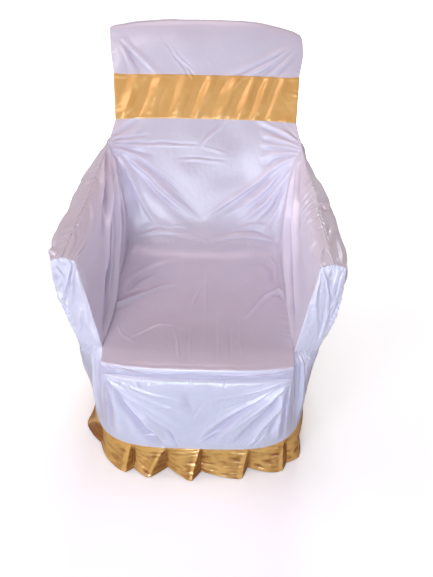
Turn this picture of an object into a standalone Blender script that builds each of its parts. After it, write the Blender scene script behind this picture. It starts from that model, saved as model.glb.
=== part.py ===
"""White satin cover for a high-backed armchair, with a gold sash band and a pleated gold frill.

The chair itself is left out: the cover keeps the shape in which it hangs over one, hollow and
open below. Metres, +Z up. The front faces -Y, and the origin is on the floor under the middle.
"Left" is the -X side and "right" the +X side.

Every seam is one smooth line through a few key points. A panel is a grid of points stretched
between its four seams, so neighbours share their seam points exactly. Each panel then gets its
folds and a second layer one cloth thickness inside, and it stops a hair short of its neighbours.
"""
from collections import namedtuple

import bpy
import numpy as np
from mathutils.kdtree import KDTree

# ---------------------------------------------------------------- cloth
CLOTH = 0.0016          # thickness of one layer, hems and seam allowance evened out
SEAM_GAP = 0.0005       # neighbouring pieces stop this far apart
EDGE_CALM = 0.022       # folds die out over this distance from a seam
MOST_MITRE = 1.5        # a mitred seam edge is at most this many cloth thicknesses deep
SAME_POINT = 0.00002    # seam points of two panels this close together are one point
CREASE_ANGLE = 50       # degrees: sharper edges than this are shaded as creases

# ---------------------------------------------------------------- segments
ACROSS = 16             # across the back, seat and front skirt
CROWN_ROWS = 4          # rear top seam over the crown to the band
BAND_ROWS = 2           # height of the sash band
BELOW_BAND_ROWS = 1     # band to the pinch where the arms begin
ARM_ROWS = 8            # pinch to seat, and arm seam to seat level
ARM_COLUMNS = 9         # along the arm
FACE_COLUMNS = 2        # arm front, each side of the arm seam
TUCK_COLUMNS = 1        # side of the seat in front of the arm
LIP_ROWS = 2            # turned-down lip of the seat
SKIRT_ROWS = 6          # lip seam to hem
FRILL_ROWS = 3          # hem to floor
OPENING_STEPS = (0.0, 0.40, 0.75, 1.0)  # columns of a pleat, shares of the way to its tip
CLOSING_STEPS = (0.35, 0.70)            # and of the way back from the tip
SAMPLES_PER_KEY = 60    # when a line is measured to space its points evenly
HEM_SAMPLES = 2001      # the same for the hem

# ---------------------------------------------------------------- heights
BAND_TOP_Z = 0.824
BAND_FOOT_Z = 0.730
SEAT_Z = 0.435
LIP_Z = 0.400
HEM_Z = 0.103

# ---------------------------------------------------------------- corners where seams meet
# half-width x, depth y, height z, on the right side
BAND_TOP = (0.2160, 0.2540, BAND_TOP_Z)
BAND_FOOT = (0.2160, 0.2140, BAND_FOOT_Z)
PINCH = (0.2294, 0.1635, 0.696)
SEAT_BACK = (0.2009, 0.0971, SEAT_Z)
SEAT_FRONT = (0.2061, -0.2812, SEAT_Z)
LIP_END = (0.2065, -0.2880, LIP_Z)
LEG_INNER = (0.2095, -0.2397, 0.4295)
LEG_OUTER = (0.2616, -0.2297, 0.4264)
LEG_REAR = (0.2700, 0.1300, 0.4264)
ARM_END = (0.2680, -0.1950, 0.6520)
ARM_INNER = (0.2427, -0.1952, 0.6437)
ARM_OUTER = (0.2934, -0.1952, 0.6437)

# ---------------------------------------------------------------- hem, seen from above
HEM_HALF_WIDTH = 0.287
HEM_CENTRE_X = -0.005   # the skirts hang a little to the left
HEM_HALF_DEPTH = 0.298
HEM_SQUARENESS = 4.0    # 2 is an ellipse, more is squarer
HEM_FRONT_RUN = 0.230   # along the hem from the front centre to the front skirt's side seam
HEM_REAR_RUN = 0.430    # from the rear centre to the outside back's side seam

# ---------------------------------------------------------------- seams and lines, right side
# Each row is x, y, z; a seam runs from corner to corner.
SHOULDER_SEAM = {
    "left": (
        (0.2140, 0.3250, 0.9050),
        (0.2210, 0.3110, 0.9080),
        (0.2220, 0.2910, 0.8830),
        BAND_TOP,
    ),
    "right": (
        (0.2060, 0.3250, 0.8975),
        (0.2150, 0.3110, 0.8960),
        (0.2225, 0.2910, 0.8700),
        BAND_TOP,
    ),
}
BAND_SIDE = (BAND_TOP, BAND_FOOT)
PINCH_SEAM = (BAND_FOOT, PINCH)
BACK_ARM_SEAM = (PINCH, (0.2150, 0.1590, 0.6450), (0.2075, 0.1440, 0.5600), SEAT_BACK)
SEAT_SIDE = (SEAT_BACK, (0.2040, -0.0700, 0.4350), LEG_INNER)
SEAT_TUCK = (LEG_INNER, SEAT_FRONT)
LIP_SIDE = (SEAT_FRONT, LIP_END)
ARM_SEAM = (
    PINCH,
    (0.2400, 0.0950, 0.6740),
    (0.2480, 0.0000, 0.6660),
    (0.2580, -0.1000, 0.6600),
    ARM_END,
)
ARM_REAR_SEAM = {
    "left": (PINCH, (0.2600, 0.1580, 0.6620), (0.2720, 0.1450, 0.5600), LEG_REAR),
    "right": (PINCH, (0.2460, 0.1570, 0.6580), (0.2680, 0.1450, 0.5600), LEG_REAR),
}
ARM_FOLD = (ARM_INNER, (0.2260, -0.2175, 0.5350), LEG_INNER)
ARM_OUTER_SEAM = {
    "left": (ARM_OUTER, (0.2940, -0.2060, 0.5800), (0.2800, -0.2180, 0.5000), LEG_OUTER),
    "right": (ARM_OUTER, (0.2945, -0.2060, 0.5800), (0.2880, -0.2150, 0.5000), LEG_OUTER),
}
SEAT_LEVEL = (
    LEG_REAR,
    (0.2790, 0.0000, 0.4264),
    (0.2790, -0.1400, 0.4264),
    (0.2740, -0.2020, 0.4264),
    LEG_OUTER,
)
# lines inside the arm panels, rear to front
INNER_EDGE = (
    (0.2290, 0.1520, 0.6740),
    (0.2360, 0.0500, 0.6600),
    (0.2400, -0.0800, 0.6530),
    ARM_INNER,
)
INNER_WALL = (
    (0.2090, 0.1460, 0.5800),
    (0.2180, 0.0000, 0.5450),
    (0.2240, -0.1200, 0.5350),
    (0.2260, -0.2175, 0.5350),
)
# the left arm stands wider at the rear and sags into a pouch; the right one bulges lower down
OUTER_EDGE = {
    "left": (
        (0.2600, 0.1500, 0.6600),
        (0.2820, 0.0700, 0.6500),
        (0.2895, -0.0200, 0.6470),
        (0.2985, -0.1200, 0.6430),
        ARM_OUTER,
    ),
    "right": (
        (0.2460, 0.1500, 0.6600),
        (0.2745, 0.0700, 0.6480),
        (0.2860, -0.0200, 0.6450),
        (0.2940, -0.1200, 0.6420),
        ARM_OUTER,
    ),
}
OUTER_SAG = {
    "left": (
        (0.2690, 0.1450, 0.5600),
        (0.2910, 0.0200, 0.5450),
        (0.2965, -0.1100, 0.5300),
        (0.2900, -0.2080, 0.5500),
    ),
    "right": (
        (0.2680, 0.1450, 0.5600),
        (0.2900, 0.0200, 0.5400),
        (0.3010, -0.1100, 0.5200),
        (0.2930, -0.2100, 0.5350),
    ),
}

# centre lines of the front and rear, top to bottom: y, z
CENTRE_CROWN = ((0.3400, 0.9120), (0.3220, 0.9290), (0.3000, 0.9080), (0.2600, BAND_TOP_Z))
CENTRE_BAND = ((0.2600, BAND_TOP_Z), (0.2215, BAND_FOOT_Z))
CENTRE_BELOW_BAND = ((0.2215, BAND_FOOT_Z), (0.2070, 0.696))
CENTRE_BACK = ((0.2070, 0.696), (0.1500, 0.560), (0.1200, 0.490), (0.0900, 0.4520))
CENTRE_SEAT = (
    (0.0900, 0.4520),
    (0.0600, 0.4380),
    (0.0200, 0.4320),
    (-0.0800, 0.4300),
    (-0.2520, 0.4370),
)
CENTRE_TUCK = ((-0.2520, 0.4370), (-0.2950, SEAT_Z))
CENTRE_LIP = ((-0.2950, SEAT_Z), (-0.3045, 0.4260), (-0.3020, LIP_Z))
CENTRE_SKIRT = ((-0.3020, LIP_Z), (-0.3060, 0.3700), (-0.3030, 0.2500), (-HEM_HALF_DEPTH, HEM_Z))
CENTRE_REAR = ((0.3400, 0.9120), (0.3400, 0.7000), (0.3230, 0.4264), (HEM_HALF_DEPTH, HEM_Z))

EDGE_PULL = 3.0         # how fast a seam's pull on its panel fades towards the middle
SIDE_HUG = 3.5          # how late the front panels turn towards their side seams
REAR_SQUARENESS = 3.6   # plan shape of the outside back round the rear corners
LEFT_BULGE = 0.012      # the outside back stands this far proud of its left side seam
RIGHT_BULGE = 0.034     # and of its right one
SIDE_SHARE = 0.22       # share of the outside back's columns on each side of the chair
CORNER_TURN = 0.25      # share of its half turn that those columns take

# ---------------------------------------------------------------- folds
# A fold runs from (u0, v0) to (u1, v1), fractions of its panel from its left or rear edge and
# from its top; peak is where along it the fold stands highest. A trough has a negative height.
Fold = namedtuple("Fold", "panel u0 v0 u1 v1 width height peak")
FOLDS = (
    Fold("inside_back", 0.03, 0.10, 0.28, 0.30, 0.016, 0.0060, 0.5),
    Fold("inside_back", 0.97, 0.12, 0.66, 0.31, 0.014, 0.0055, 0.5),
    Fold("inside_back", 0.97, 0.14, 0.82, 0.33, 0.014, 0.0050, 0.5),
    Fold("inside_back", 0.00, 0.49, 0.36, 0.53, 0.013, 0.0055, 0.3),
    Fold("inside_back", 0.00, 0.52, 0.44, 0.82, 0.018, 0.0085, 0.35),
    Fold("inside_back", 0.02, 0.50, 0.46, 0.70, 0.018, -0.0070, 0.4),
    Fold("inside_back", 1.00, 0.48, 0.70, 0.50, 0.013, 0.0055, 0.3),
    Fold("inside_back", 1.00, 0.52, 0.56, 0.78, 0.018, 0.0080, 0.35),
    Fold("inside_back", 0.98, 0.50, 0.56, 0.68, 0.018, -0.0060, 0.4),
    Fold("inside_back", 1.00, 0.55, 0.70, 0.88, 0.018, 0.0080, 0.35),
    Fold("inside_back", 0.12, 0.93, 0.88, 0.93, 0.016, 0.0065, 0.5),
    Fold("seat_panel", 0.03, 0.42, 0.30, 0.26, 0.014, 0.0080, 0.45),
    Fold("seat_panel", 0.97, 0.30, 0.74, 0.52, 0.014, 0.0075, 0.4),
    Fold("seat_panel", 0.33, 0.40, 0.36, 0.80, 0.018, 0.0040, 0.5),
    Fold("seat_panel", 0.62, 0.36, 0.60, 0.82, 0.018, 0.0040, 0.5),
    Fold("front_skirt", 0.03, 0.04, 0.40, 0.98, 0.020, -0.0095, 0.45),
    Fold("front_skirt", 0.06, 0.02, 0.54, 0.90, 0.018, 0.0075, 0.4),
    Fold("front_skirt", 0.97, 0.03, 0.48, 0.85, 0.018, 0.0075, 0.4),
    Fold("front_skirt", 0.97, 0.10, 0.64, 0.98, 0.018, -0.0080, 0.5),
    Fold("inner_arm_left", 0.12, 0.05, 0.12, 0.96, 0.014, 0.0095, 0.35),
    Fold("inner_arm_left", 0.34, 0.10, 0.33, 0.96, 0.016, 0.0080, 0.4),
    Fold("inner_arm_left", 0.56, 0.20, 0.52, 0.95, 0.018, 0.0070, 0.45),
    Fold("inner_arm_right", 0.12, 0.05, 0.12, 0.96, 0.014, 0.0095, 0.35),
    Fold("inner_arm_right", 0.34, 0.12, 0.33, 0.96, 0.016, 0.0080, 0.4),
    Fold("inner_arm_right", 0.60, 0.25, 0.50, 0.95, 0.018, 0.0050, 0.45),
    Fold("outer_arm_left", 0.50, 0.66, 0.97, 0.60, 0.024, 0.0100, 0.7),
    Fold("outer_arm_left", 0.60, 0.84, 0.98, 0.80, 0.020, -0.0070, 0.6),
    Fold("outer_arm_left", 0.16, 0.10, 0.20, 0.85, 0.022, 0.0060, 0.5),
    Fold("outer_arm_right", 0.45, 0.55, 0.96, 0.50, 0.030, 0.0090, 0.6),
    Fold("outer_arm_right", 0.20, 0.10, 0.26, 0.85, 0.022, 0.0060, 0.5),
    Fold("arm_front_left", 0.60, 0.04, 0.72, 0.66, 0.012, 0.0070, 0.5),
    Fold("arm_front_right", 0.55, 0.04, 0.66, 0.84, 0.012, 0.0070, 0.5),
    Fold("side_skirt_left", 0.24, 0.05, 0.20, 0.95, 0.018, 0.0060, 0.5),
    Fold("side_skirt_left", 0.45, 0.02, 0.45, 0.98, 0.045, 0.0095, 0.5),
    Fold("side_skirt_left", 0.72, 0.05, 0.80, 0.98, 0.024, 0.0080, 0.6),
    Fold("side_skirt_right", 0.24, 0.05, 0.20, 0.95, 0.018, 0.0060, 0.5),
    Fold("side_skirt_right", 0.54, 0.05, 0.48, 0.98, 0.024, 0.0070, 0.6),
    Fold("side_skirt_right", 0.80, 0.05, 0.74, 0.98, 0.024, 0.0080, 0.6),
    Fold("outside_back", 0.34, 0.06, 0.37, 0.97, 0.024, 0.0090, 0.6),
    Fold("outside_back", 0.50, 0.20, 0.50, 0.97, 0.022, 0.0060, 0.7),
    Fold("outside_back", 0.64, 0.06, 0.61, 0.97, 0.024, 0.0090, 0.6),
)

# ---------------------------------------------------------------- sash band
BAND_CLEAR = 0.0005     # band to the backrest panel behind it
BAND_SLANT = 0.30       # how far along its length a fold of the band slants from foot to top
# place along the band from its left end, width and height of each slanting fold
BandFold = namedtuple("BandFold", "place width height")
BAND_FOLDS = (
    BandFold(0.10, 0.06, 0.0030),
    BandFold(0.33, 0.07, 0.0035),
    BandFold(0.55, 0.05, 0.0040),
    BandFold(0.74, 0.06, 0.0035),
    BandFold(0.93, 0.04, 0.0030),
)

# ---------------------------------------------------------------- frill
FRILL_FOOT = 0.008      # lowest edge of a recess above the floor
FRILL_FLARE = 1.30      # how the pleats open downwards
FIRST_RECESS = 0.006    # a strip starts in a recess this far outside the hem line
HEM_NEAR = 0.002        # half the run over which the hem's direction is taken
# Each pleat opens slowly from the recess before it to its tip and turns back to the recess after
# it: width along the hem, tip as a share of the width, how far the tip stands out of the hem
# line, how far the tip leans along the hem, and how far out the recess after it hangs.
Pleat = namedtuple("Pleat", "width tip out lean recess")
FRILLS = {
    "frill_front": (-0.165, (
        Pleat(0.088, 0.48, 0.035, 0.000, 0.002),
        Pleat(0.088, 0.72, 0.039, 0.000, 0.013),
        Pleat(0.124, 0.85, 0.031, 0.000, 0.000),
        Pleat(0.099, 0.81, 0.031, 0.000, 0.019),
    )),
    "frill_right": (0.234, (
        Pleat(0.085, 0.42, 0.030, 0.000, 0.006),
        Pleat(0.112, 0.60, 0.012, 0.004, 0.004),
        Pleat(0.100, 0.55, 0.014, 0.004, 0.006),
        Pleat(0.116, 0.62, 0.034, 0.004, 0.008),
        Pleat(0.100, 0.55, 0.032, 0.004, 0.006),
        Pleat(0.076, 0.60, 0.022, 0.004, 0.006),
    )),
    "frill_left": (-0.823, (
        Pleat(0.092, 0.60, 0.024, 0.004, 0.006),
        Pleat(0.110, 0.44, 0.026, -0.004, 0.006),
        Pleat(0.100, 0.60, 0.026, 0.004, 0.006),
        Pleat(0.124, 0.46, 0.020, -0.002, 0.008),
        Pleat(0.116, 0.42, 0.040, 0.000, 0.010),
        Pleat(0.116, 0.85, 0.032, 0.000, 0.016),
    )),
}
REAR_PLEAT = Pleat(0.104, 0.64, 0.024, 0.004, 0.006)

WHITE_SATIN = (0.72, 0.70, 0.80, 1.0)
GOLD_SATIN = (0.62, 0.36, 0.09, 1.0)
SATIN_ROUGHNESS = 0.38


# ================================================================ lines
def line_through(keys, steps):
    """steps + 1 evenly spaced points on a smooth line through the key points."""
    keys = np.array(keys, float)
    chord = np.append(0.0, np.cumsum(np.linalg.norm(np.diff(keys, axis=0), axis=1)))
    slope = np.gradient(keys, chord, axis=0)
    where = np.linspace(0.0, chord[-1], SAMPLES_PER_KEY * len(keys))
    span = np.clip(np.searchsorted(chord, where, side="right") - 1, 0, len(keys) - 2)
    length = (chord[span + 1] - chord[span])[:, None]
    t = (where[:, None] - chord[span][:, None]) / length
    fine = (
        (1 + 2 * t) * (1 - t) ** 2 * keys[span]
        + t * (1 - t) ** 2 * length * slope[span]
        + t ** 2 * (3 - 2 * t) * keys[span + 1]
        + t ** 2 * (t - 1) * length * slope[span + 1]
    )
    along = np.append(0.0, np.cumsum(np.linalg.norm(np.diff(fine, axis=0), axis=1)))
    even = np.linspace(0.0, along[-1], steps + 1)
    return np.column_stack([np.interp(even, along, fine[:, k]) for k in range(3)])


def chain(*lines):
    """One line from several that meet end to start."""
    return np.vstack([lines[0]] + [line[1:] for line in lines[1:]])


def centre(keys, steps):
    """A line in the middle plane, from rows of y and z."""
    return line_through([(0.0, y, z) for y, z in keys], steps)


def mirrored(line):
    return line * (-1.0, 1.0, 1.0)


def hem_ring():
    """The right half of the hem seen from above, front centre to rear centre, and its run."""
    turn = np.linspace(0.0, np.pi, HEM_SAMPLES)
    power = 2.0 / HEM_SQUARENESS
    x = HEM_HALF_WIDTH * np.abs(np.sin(turn)) ** power
    y = -HEM_HALF_DEPTH * np.sign(np.cos(turn)) * np.abs(np.cos(turn)) ** power
    run = np.append(0.0, np.cumsum(np.hypot(np.diff(x), np.diff(y))))
    return x, y, run


HEM_X, HEM_Y, HEM_RUN = hem_ring()
HEM_HALF_RING = HEM_RUN[-1]


def hem_at(run):
    """Points of the hem at runs from the front centre, right positive and left negative."""
    run = np.asarray(run, float)
    wrapped = (run + HEM_HALF_RING) % (2 * HEM_HALF_RING) - HEM_HALF_RING
    x = np.interp(np.abs(wrapped), HEM_RUN, HEM_X) * np.sign(wrapped)
    y = np.interp(np.abs(wrapped), HEM_RUN, HEM_Y)
    return np.column_stack([x + HEM_CENTRE_X, y, np.full(len(run), HEM_Z)])


def hem_line(start, end, steps):
    return hem_at(np.linspace(start, end, steps + 1))


def seams_of(side):
    """Every seam of one side, by name, as it would lie on the right."""
    skirt_rows = LIP_ROWS + SKIRT_ROWS
    hem_columns = TUCK_COLUMNS + 2 * FACE_COLUMNS + ARM_COLUMNS
    hem_rear = HEM_HALF_RING - HEM_REAR_RUN
    if side == "right":
        hem = hem_line(HEM_FRONT_RUN, hem_rear, hem_columns)
    else:
        hem = mirrored(hem_line(-HEM_FRONT_RUN, -hem_rear, hem_columns))
    return {
        "shoulder": chain(
            line_through(SHOULDER_SEAM[side], CROWN_ROWS),
            line_through(BAND_SIDE, BAND_ROWS),
            line_through(PINCH_SEAM, BELOW_BAND_ROWS),
        ),
        "back_arm": line_through(BACK_ARM_SEAM, ARM_ROWS),
        "seat_side": line_through(SEAT_SIDE, ARM_COLUMNS),
        "seat_tuck": line_through(SEAT_TUCK, TUCK_COLUMNS),
        "lip_side": line_through(LIP_SIDE, LIP_ROWS),
        "skirt_front": line_through([LIP_END, hem[0]], SKIRT_ROWS),
        "skirt_rear": line_through([LEG_REAR, hem[-1]], skirt_rows),
        "hem": hem,
        "arm_seam": line_through(ARM_SEAM, ARM_COLUMNS),
        "arm_rear": line_through(ARM_REAR_SEAM[side], ARM_ROWS),
        "face_top_inner": line_through([ARM_END, ARM_INNER], FACE_COLUMNS),
        "face_top_outer": line_through([ARM_END, ARM_OUTER], FACE_COLUMNS),
        "arm_fold": line_through(ARM_FOLD, ARM_ROWS - FACE_COLUMNS),
        "arm_outer": line_through(ARM_OUTER_SEAM[side], ARM_ROWS - FACE_COLUMNS),
        "seat_level": line_through(SEAT_LEVEL, ARM_COLUMNS),
        "leg_top": line_through([LEG_INNER, LEG_OUTER], 2 * FACE_COLUMNS),
    }


# ================================================================ panels
def span_across(left, middle, right, hug):
    """Rows from the left line over the middle line to the right one, turning late to the sides."""
    u = np.linspace(-1.0, 1.0, ACROSS + 1)[None, :, None]
    reach = np.abs(u)
    side = np.where(u < 0, left[:, None, :], right[:, None, :])
    off = side - middle[:, None, :]
    share = np.concatenate([reach, reach ** hug, reach ** hug], axis=2)
    return middle[:, None, :] + off * share


def loft(lines, rows):
    """A grid whose first and last rows are the first and last lines, smooth through the others."""
    columns = [line_through([line[k] for line in lines], rows) for k in range(len(lines[0]))]
    return np.stack(columns, axis=1)


def fit_edges(grid, top=None, foot=None, start=None, end=None):
    """Moves a grid's borders onto the given seams and blends the move into the middle."""
    rows, columns = grid.shape[0] - 1, grid.shape[1] - 1
    v = np.linspace(0.0, 1.0, rows + 1)[:, None, None]
    u = np.linspace(0.0, 1.0, columns + 1)[None, :, None]
    if top is not None:
        grid = grid + (1 - v) ** EDGE_PULL * (top - grid[0])[None]
    if foot is not None:
        grid = grid + v ** EDGE_PULL * (foot - grid[-1])[None]
    if start is not None:
        grid = grid + (1 - u) ** EDGE_PULL * (start - grid[:, 0])[:, None]
    if end is not None:
        grid = grid + u ** EDGE_PULL * (end - grid[:, -1])[:, None]
    return grid


def between(top, foot, start, end):
    """A panel stretched evenly between its four seams."""
    rows, columns = len(start) - 1, len(top) - 1
    v = np.linspace(0.0, 1.0, rows + 1)[:, None, None]
    u = np.linspace(0.0, 1.0, columns + 1)[None, :, None]
    corners = (
        (1 - u) * (1 - v) * top[0] + u * (1 - v) * top[-1]
        + (1 - u) * v * foot[0] + u * v * foot[-1]
    )
    sides = (1 - u) * start[:, None] + u * end[:, None]
    return (1 - v) * top[None] + v * foot[None] + sides - corners


def rear_wrap(left, right, middle, top):
    """The outside back: level sections that run round both rear corners."""
    turn = np.linspace(0.0, 1.0, ACROSS + 1)
    columns_at = [0.0, SIDE_SHARE, 1 - SIDE_SHARE, 1.0]
    angle = np.pi * np.interp(turn, columns_at, [0.0, CORNER_TURN, 1 - CORNER_TURN, 1.0])
    power = 2.0 / REAR_SQUARENESS
    wide = np.sign(np.cos(angle)) * np.abs(np.cos(angle)) ** power
    deep = np.abs(np.sin(angle)) ** power
    side = np.where(turn[None, :, None] < 0.5, left[:, None, :], right[:, None, :])
    grid = np.empty((len(middle), ACROSS + 1, 3))
    bulge = np.where(turn < 0.5, LEFT_BULGE, RIGHT_BULGE)
    grid[..., 0] = -np.abs(side[..., 0]) * wide - bulge * np.sin(2 * angle)
    grid[..., 1] = side[..., 1] + (middle[:, None, 1] - side[..., 1]) * deep
    grid[..., 2] = side[..., 2] + (middle[:, None, 2] - side[..., 2]) * deep
    return fit_edges(grid, top=top, start=left, end=right)


def across_panels(left_seams, right_seams):
    """The panels that run across the chair, by name, with the side that faces out."""
    sides = {name: (mirrored(left_seams[name]), right_seams[name]) for name in right_seams}

    def span(names, centre_line):
        left = chain(*[sides[name][0] for name in names])
        right = chain(*[sides[name][1] for name in names])
        return span_across(left, centre_line, right, SIDE_HUG)

    back_centre = chain(
        centre(CENTRE_CROWN, CROWN_ROWS),
        centre(CENTRE_BAND, BAND_ROWS),
        centre(CENTRE_BELOW_BAND, BELOW_BAND_ROWS),
        centre(CENTRE_BACK, ARM_ROWS),
    )
    seat_centre = chain(
        centre(CENTRE_SEAT, ARM_COLUMNS),
        centre(CENTRE_TUCK, TUCK_COLUMNS),
        centre(CENTRE_LIP, LIP_ROWS),
    )
    back = span(["shoulder", "back_arm"], back_centre)
    seat = span(["seat_side", "seat_tuck", "lip_side"], seat_centre)
    skirt = span(["skirt_front"], centre(CENTRE_SKIRT, SKIRT_ROWS))
    skirt = fit_edges(skirt, foot=hem_line(-HEM_FRONT_RUN, HEM_FRONT_RUN, ACROSS))
    rear_names = ["shoulder", "arm_rear", "skirt_rear"]
    rear_left = chain(*[sides[name][0] for name in rear_names])
    rear_right = chain(*[sides[name][1] for name in rear_names])
    rear = rear_wrap(rear_left, rear_right, centre(CENTRE_REAR, len(rear_left) - 1), back[0])
    hem_rear = HEM_HALF_RING - HEM_REAR_RUN
    rear_foot = hem_line(-hem_rear, -hem_rear - 2 * HEM_REAR_RUN, ACROSS)
    return {
        "inside_back": (back, (0, -1, 0.4)),
        "seat_panel": (seat, (0, 0, 1)),
        "front_skirt": (skirt, (0, -1, 0)),
        "outside_back": (fit_edges(rear, foot=rear_foot), (0, 1, 0)),
    }


def arm_panels(side, seams):
    """The arm and leg panels of one side as they would lie on the right, and where they face."""
    front_inner = chain(seams["face_top_inner"], seams["arm_fold"])
    front_outer = chain(seams["face_top_outer"], seams["arm_outer"])
    inner = loft(
        [
            seams["arm_seam"],
            line_through(INNER_EDGE, ARM_COLUMNS),
            line_through(INNER_WALL, ARM_COLUMNS),
            seams["seat_side"],
        ],
        ARM_ROWS,
    )
    outer = loft(
        [
            seams["arm_seam"],
            line_through(OUTER_EDGE[side], ARM_COLUMNS),
            line_through(OUTER_SAG[side], ARM_COLUMNS),
            seams["seat_level"],
        ],
        ARM_ROWS,
    )
    face_top = chain(seams["face_top_inner"][::-1], seams["face_top_outer"])
    leg_top = chain(seams["seat_tuck"][::-1], seams["leg_top"], seams["seat_level"][::-1])
    skirt_front = chain(seams["lip_side"], seams["skirt_front"])
    return {
        "inner_arm": (fit_edges(inner, start=seams["back_arm"], end=front_inner), (-1, 0, 0.2)),
        "outer_arm": (fit_edges(outer, start=seams["arm_rear"], end=front_outer), (1, 0, 0.2)),
        "arm_front": (
            between(face_top, seams["leg_top"], seams["arm_fold"], seams["arm_outer"]),
            (0, -1, 0),
        ),
        "side_skirt": (
            between(leg_top, seams["hem"], skirt_front, seams["skirt_rear"]),
            (1, -0.3, 0),
        ),
    }


def smooth_step(x):
    x = np.clip(x, 0.0, 1.0)
    return x * x * (3 - 2 * x)


def fold_relief(name, grid):
    """How far each grid point stands off its panel because of the panel's folds."""
    rows, columns = grid.shape[0] - 1, grid.shape[1] - 1
    tall = np.linalg.norm(np.diff(grid, axis=0), axis=2).sum(axis=0).mean()
    wide = np.linalg.norm(np.diff(grid, axis=1), axis=2).sum(axis=1).mean()
    v = np.linspace(0.0, 1.0, rows + 1)[:, None] * tall
    u = np.linspace(0.0, 1.0, columns + 1)[None, :] * wide
    relief = np.zeros((rows + 1, columns + 1))
    for fold in FOLDS:
        if fold.panel != name:
            continue
        start = np.array([fold.u0 * wide, fold.v0 * tall])
        run = np.array([fold.u1 * wide, fold.v1 * tall]) - start
        length = np.hypot(*run)
        t = ((u - start[0]) * run[0] + (v - start[1]) * run[1]) / length ** 2
        off = ((u - start[0]) * run[1] - (v - start[1]) * run[0]) / length
        swell = np.sin(np.pi * np.clip(t, 0, 1) ** (np.log(0.5) / np.log(fold.peak)))
        relief += fold.height * swell * np.exp(-(off / fold.width) ** 2)
    edge = np.minimum(np.minimum(u, wide - u), np.minimum(v, tall - v))
    return relief * smooth_step(edge / EDGE_CALM)


# ================================================================ sheets to solids
def unit(vectors):
    return vectors / np.maximum(np.linalg.norm(vectors, axis=-1, keepdims=True), 1e-12)


def normals_of(grid, outward):
    """Unit normals of a grid, all on the side that faces out."""
    normal = unit(np.cross(np.gradient(grid, axis=1), np.gradient(grid, axis=0)))
    if (normal.reshape(-1, 3).mean(axis=0) * np.array(outward)).sum() < 0:
        normal = -normal
    return normal


def border_of(shape):
    border = np.zeros(shape, bool)
    border[[0, -1], :] = True
    border[:, [0, -1]] = True
    return border


def share_normals(sheets):
    """Gives panels that meet at a seam one common mitre direction and depth there."""
    borders = [
        (grid[i, j], normal[i, j])
        for grid, normal in sheets.values()
        for i, j in zip(*np.nonzero(border_of(grid.shape[:2])))
    ]
    tree = KDTree(len(borders))
    for number, (point, _) in enumerate(borders):
        tree.insert(point, number)
    tree.balance()
    shared = {}
    for name, (grid, normal) in sheets.items():
        depth = normal.copy()
        for i, j in zip(*np.nonzero(border_of(grid.shape[:2]))):
            found = [borders[number][1] for _, number, _ in tree.find_range(grid[i, j], SAME_POINT)]
            mean = unit(np.sum(found, axis=0))
            lean = max(np.mean([mean @ one for one in found]), 1 / MOST_MITRE)
            depth[i, j] = mean / lean
        shared[name] = (grid, depth)
    return shared


def step_back(grid):
    """The grid with its borders drawn in, so that it stops half a seam gap short."""
    drawn = grid.copy()
    half = SEAM_GAP / 2
    drawn[0] += half * unit(grid[1] - grid[0])
    drawn[-1] += half * unit(grid[-2] - grid[-1])
    drawn[:, 0] += half * unit(grid[:, 1] - grid[:, 0])
    drawn[:, -1] += half * unit(grid[:, -2] - grid[:, -1])
    return drawn


def slab(name, outer, inner, material):
    """One closed solid between two grids of the same size.

    Both layers split along the same diagonals, and a seam edge along its shorter one, so that
    the two pieces that meet there split alike.
    """
    rows, columns = outer.shape[0] - 1, outer.shape[1] - 1
    count = (rows + 1) * (columns + 1)

    def at(i, j, layer):
        return layer * count + i * (columns + 1) + j

    faces = []
    for i in range(rows):
        for j in range(columns):
            a, b, c, d = (i, j), (i, j + 1), (i + 1, j + 1), (i + 1, j)
            first = np.linalg.norm(outer[a] - outer[c])
            second = np.linalg.norm(outer[b] - outer[d])
            halves = ((a, b, c), (a, c, d)) if first <= second else ((a, b, d), (b, c, d))
            for half in halves:
                faces.append([at(*corner, 0) for corner in half])
                faces.append([at(*corner, 1) for corner in reversed(half)])
    ring = [(0, j) for j in range(columns)]
    ring += [(i, columns) for i in range(rows)]
    ring += [(rows, j) for j in range(columns, 0, -1)]
    ring += [(i, 0) for i in range(rows, 0, -1)]
    points = np.vstack([outer.reshape(-1, 3), inner.reshape(-1, 3)])
    for a, b in zip(ring, ring[1:] + ring[:1]):
        a_out, a_in, b_out, b_in = at(*a, 0), at(*a, 1), at(*b, 0), at(*b, 1)
        first = np.linalg.norm(points[b_out] - points[a_in])
        second = np.linalg.norm(points[a_out] - points[b_in])
        if first <= second:
            faces += [[b_out, a_out, a_in], [b_out, a_in, b_in]]
        else:
            faces += [[b_out, a_out, b_in], [a_out, a_in, b_in]]
    corners = points[np.array(faces)]
    volume = np.einsum("ij,ij->i", corners[:, 0], np.cross(corners[:, 1], corners[:, 2])).sum()
    if volume < 0:
        faces = [face[::-1] for face in faces]
    mesh = bpy.data.meshes.new(name)
    mesh.from_pydata(points.tolist(), [], faces)
    mesh.shade_smooth()
    mesh.set_sharp_from_angle(angle=np.radians(CREASE_ANGLE))
    mesh.materials.append(material)
    piece = bpy.data.objects.new(name, mesh)
    bpy.context.scene.collection.objects.link(piece)
    return piece


def satin(name, colour):
    material = bpy.data.materials.new(name)
    material.use_nodes = True
    shader = material.node_tree.nodes["Principled BSDF"]
    shader.inputs["Base Color"].default_value = colour
    shader.inputs["Roughness"].default_value = SATIN_ROUGHNESS
    shader.inputs["Metallic"].default_value = 0.0
    return material


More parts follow.
